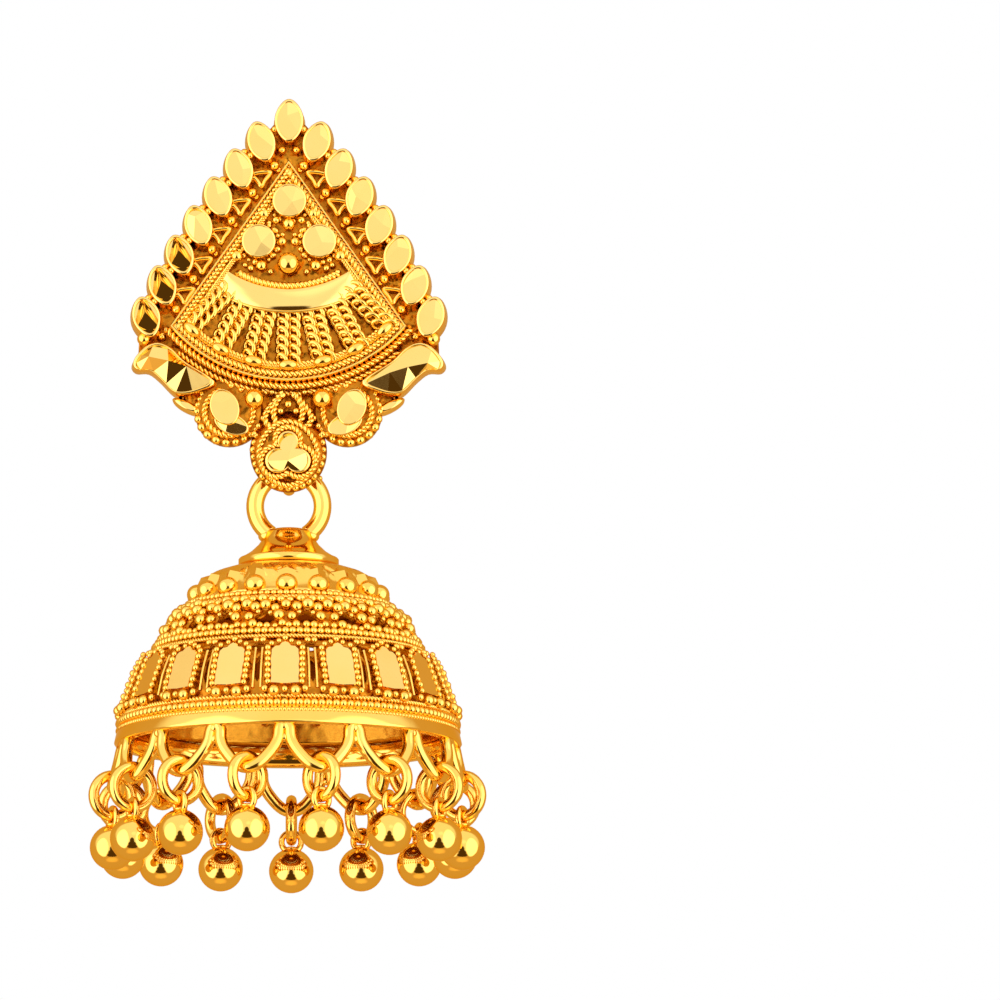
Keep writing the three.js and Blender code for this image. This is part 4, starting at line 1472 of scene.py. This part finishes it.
def hanging_tree(name, build, **sizes):
    """Instance a little assembly on every hanging point, turned by the point's own turn."""
    tree, given = new_tree(name, **sizes)
    turn = add_node(tree, "GeometryNodeInputNamedAttribute", {"Name": "turn"},
                    data_type="FLOAT").outputs["Attribute"]
    rotation = add_node(tree, "ShaderNodeCombineXYZ", {"Z": turn}).outputs[0]
    copies = add_node(tree, "GeometryNodeInstanceOnPoints", {
        "Points": given["Geometry"], "Instance": build(tree, given), "Rotation": rotation}).outputs[0]
    return close_tree(tree, given, copies)


def ring_of_wire(tree, radius, wire, turn, lift, around=40):
    """A closed ring of round wire, stood up by turn and lifted along Z."""
    loop = add_node(tree, "GeometryNodeCurvePrimitiveCircle", {
        "Resolution": around, "Radius": radius}).outputs[0]
    section = add_node(tree, "GeometryNodeCurvePrimitiveCircle", {"Resolution": 12, "Radius": wire}).outputs[0]
    ring = add_node(tree, "GeometryNodeCurveToMesh", {"Curve": loop, "Profile Curve": section}).outputs[0]
    place = add_node(tree, "ShaderNodeCombineXYZ", {"Z": lift}).outputs[0]
    return add_node(tree, "GeometryNodeTransform", {
        "Geometry": ring, "Translation": place, "Rotation": turn}).outputs[0]


UPRIGHT_ACROSS = (math.pi / 2, 0.0, 0.0)
UPRIGHT_RADIAL = (math.pi / 2, 0.0, math.pi / 2)


def jump_ring_parts(tree, given):
    return ring_of_wire(tree, given["Radius"], given["Wire"], UPRIGHT_RADIAL, 0.0)


def bead_parts(tree, given):
    ball = add_node(tree, "GeometryNodeMeshUVSphere", {
        "Segments": 32, "Rings": 20, "Radius": given["Ball"]}).outputs["Mesh"]
    low = add_node(tree, "ShaderNodeCombineXYZ", {"Z": given["BallZ"]}).outputs[0]
    ball = add_node(tree, "GeometryNodeTransform", {"Geometry": ball, "Translation": low}).outputs[0]
    bail = ring_of_wire(tree, given["Bail"], given["Wire"], UPRIGHT_ACROSS, given["BailZ"], 28)
    top = add_node(tree, "ShaderNodeMath", {0: given["BallZ"], 1: given["Ball"]}, operation="ADD").outputs[0]
    place = add_node(tree, "ShaderNodeCombineXYZ", {"Z": top}).outputs[0]
    collar = add_node(tree, "GeometryNodeMeshUVSphere", {
        "Segments": 18, "Rings": 10, "Radius": 0.42}).outputs["Mesh"]
    collar = add_node(tree, "GeometryNodeTransform", {
        "Geometry": collar, "Translation": place, "Scale": (1.0, 1.0, 0.32)}).outputs[0]
    both = add_node(tree, "GeometryNodeJoinGeometry")
    for part in (collar, bail, ball):
        tree.links.new(part, both.inputs[0])
    return both.outputs[0]


BEAD_RADIUS, BAIL_RADIUS, BAIL_WIRE, BAIL_RISE, RING_WIRE = 1.35, 0.58, 0.18, 0.36, 0.32
RING_MARGIN, BALL_MARGIN = 0.02, 0.03  # a round surface drawn a hair inside the box of its faceted solid
bead_z = BEAD_LOW + BEAD_RADIUS - RING_Z
bail_z = bead_z + BEAD_RADIUS + BAIL_RISE
hooks = bpy.data.meshes.new("hooks")
hook_points = []
for i in range(DROPS):
    a = swag_turn(i)
    hook_points.append(AXIS + Vector((DROP_CIRCLE * math.sin(a), -DROP_CIRCLE * math.cos(a), RING_Z)))
hooks.from_pydata([tuple(p) for p in hook_points], [], [])
turns = hooks.attributes.new("turn", "FLOAT", "POINT")
turns.data.foreach_set("value", [swag_turn(i) + ring_twist(i) for i in range(DROPS)])
ring_tree = hanging_tree("jump_rings", jump_ring_parts, Radius=1.42, Wire=RING_WIRE)
bead_tree = hanging_tree("hollow_beads", bead_parts, Ball=1.3, Bail=0.5, Wire=0.18, BallZ=0.0, BailZ=0.0)
ring_radius = RING_RADIUS - RING_WIRE - RING_MARGIN
jump_rings = grow(hooks.copy(), ring_tree, burnished_gold, Radius=ring_radius, Wire=RING_WIRE)
bead_sizes = {"Ball": BEAD_RADIUS - BALL_MARGIN, "Bail": BAIL_RADIUS, "Wire": BAIL_WIRE,
              "BallZ": bead_z, "BailZ": bail_z}
beads = grow(hooks, bead_tree, burnished_gold, **bead_sizes)
piece("jump_rings", jump_rings, "drop", replaces=RING_NODES)
piece("hollow_beads", beads, "drop", replaces=BEAD_NODES)

# %% [markdown]
# ## Room, light and camera
# Gold shows nothing but what it reflects, so the room is the real finish. It is a light tent: warm all round,
# white above, with a bright panel on each side, and a dark gap low in front where the camera stands. The
# backdrop is plain white to the eye, and a pale floor lies below.

# %% Light tent
def tent_patch(tree, azimuth, height, half_azimuth, half_height, soft):
    """A mask for part of the tent: 1 inside an oval of directions, 0 outside; angles are in degrees."""
    direction = add_node(tree, "ShaderNodeTexCoord").outputs["Generated"]
    parts = add_node(tree, "ShaderNodeSeparateXYZ", {0: direction}).outputs
    back = add_node(tree, "ShaderNodeMath", {0: parts["Y"], 1: -1.0}, operation="MULTIPLY").outputs[0]
    around = add_node(tree, "ShaderNodeMath", {0: parts["X"], 1: back}, operation="ARCTAN2").outputs[0]
    up = add_node(tree, "ShaderNodeMath", {0: parts["Z"]}, operation="ARCSINE").outputs[0]
    squares = []
    for value, centre, half in ((around, azimuth, half_azimuth), (up, height, half_height)):
        off = add_node(tree, "ShaderNodeMath", {0: value, 1: math.radians(centre)},
                       operation="SUBTRACT").outputs[0]
        share = add_node(tree, "ShaderNodeMath", {0: off, 1: math.radians(half)}, operation="DIVIDE").outputs[0]
        squares.append(add_node(tree, "ShaderNodeMath", {0: share, 1: share}, operation="MULTIPLY").outputs[0])
    reach = add_node(tree, "ShaderNodeMath", {0: squares[0], 1: squares[1]}, operation="ADD").outputs[0]
    return add_node(tree, "ShaderNodeMapRange", {
        "Value": reach, "From Min": 1 - soft, "From Max": 1 + soft, "To Min": 1.0, "To Max": 0.0},
        interpolation_type="SMOOTHSTEP").outputs["Result"]


WHITE, BOUNCE, DARK = "FFFDF8", "F0C47E", "C09048"
BOUNCE_BRIGHTNESS = 0.8
TENT = [  # azimuth, height, half widths, softness, brightness and colour inside
    (0, -73, 75, 15, 0.9, 1.35, BOUNCE),
    (0, 32, 98, 62, 0.2, 1.12, WHITE),
    (9, 21, 12, 9, 0.9, 1.4, WHITE),
    (-52, -4, 33, 42, 0.25, 2.1, WHITE),
    (52, -4, 33, 42, 0.25, 2.1, WHITE),
    (0, -18, 12, 19, 0.3, 0.15, DARK),
    (0, -33, 23, 15, 0.3, 0.15, DARK),
    (0, -45, 36, 11, 0.3, 0.15, DARK),
]


def glow(hex_colour, brightness):
    return [c * brightness for c in linear(hex_colour)[:3]] + [1.0]


def light_tent():
    world = bpy.data.worlds.new("light_tent")
    world.use_nodes = True
    tree = world.node_tree
    tree.nodes.clear()
    light = add_node(tree, "ShaderNodeRGB").outputs[0]
    light.default_value = glow(BOUNCE, BOUNCE_BRIGHTNESS)
    for azimuth, height, half_azimuth, half_height, soft, brightness, colour in TENT:
        mask = tent_patch(tree, azimuth, height, half_azimuth, half_height, soft)
        light = add_node(tree, "ShaderNodeMix", {0: mask, 6: light, 7: glow(colour, brightness)},
                         data_type="RGBA").outputs[2]
    tent = add_node(tree, "ShaderNodeBackground", {"Color": light, "Strength": 1.0})
    backdrop = add_node(tree, "ShaderNodeBackground", {"Color": linear("FFFFFF"), "Strength": 1.0})
    seen = add_node(tree, "ShaderNodeLightPath").outputs["Is Camera Ray"]
    both = add_node(tree, "ShaderNodeMixShader", {0: seen, 1: tent.outputs[0], 2: backdrop.outputs[0]})
    add_node(tree, "ShaderNodeOutputWorld", {"Surface": both.outputs[0]})
    bpy.context.scene.world = world


light_tent()
FLOOR_Z, FLOOR_REACH = -0.15, 1.5


def floor():
    mesh = bpy.data.meshes.new("floor")
    corners = [(x * FLOOR_REACH, y * FLOOR_REACH, FLOOR_Z) for x, y in ((-1, -1), (1, -1), (1, 1), (-1, 1))]
    mesh.from_pydata(corners, [], [(0, 1, 2, 3)])
    obj = bpy.data.objects.new("floor", mesh)
    bpy.context.scene.collection.objects.link(obj)
    paper = bpy.data.materials.new("white_paper")
    paper.use_nodes = True
    shader = paper.node_tree.nodes["Principled BSDF"]
    shader.inputs["Base Color"].default_value = linear("F4F2EE")
    shader.inputs["Roughness"].default_value = 0.9
    mesh.materials.append(paper)
    obj.visible_glossy = False


floor()
bpy.context.scene.view_settings.view_transform = "Standard"

# %% Camera
# In millimetres. It looks up a little, and to the right of the earring, where the other of the pair would hang.
FRAME_WIDTH = 58.31
DISTANCE = 600
ELEVATION = math.radians(-9)
AIM = Vector((12.33, 0, -16.31))


def camera():
    data = bpy.data.cameras.new("camera")
    data.sensor_width = 36
    data.lens = data.sensor_width * DISTANCE / FRAME_WIDTH
    data.clip_start, data.clip_end = 0.01, 10
    obj = bpy.data.objects.new("camera", data)
    bpy.context.scene.collection.objects.link(obj)
    forward = Vector((0, math.cos(ELEVATION), -math.sin(ELEVATION)))
    obj.location = (AIM - forward * DISTANCE) * MM
    obj.rotation_euler = forward.to_track_quat("-Z", "Y").to_euler()
    bpy.context.scene.camera = obj
    print("camera at", [round(v, 4) for v in obj.location], "lens", round(data.lens, 1))


camera()

# %% [markdown]
# ## Finish
# The finished pieces should fill the same box as the solid model. Here the faces of all of them are counted.

# %% Faces in all
print("faces in all:", sum(made.values()))
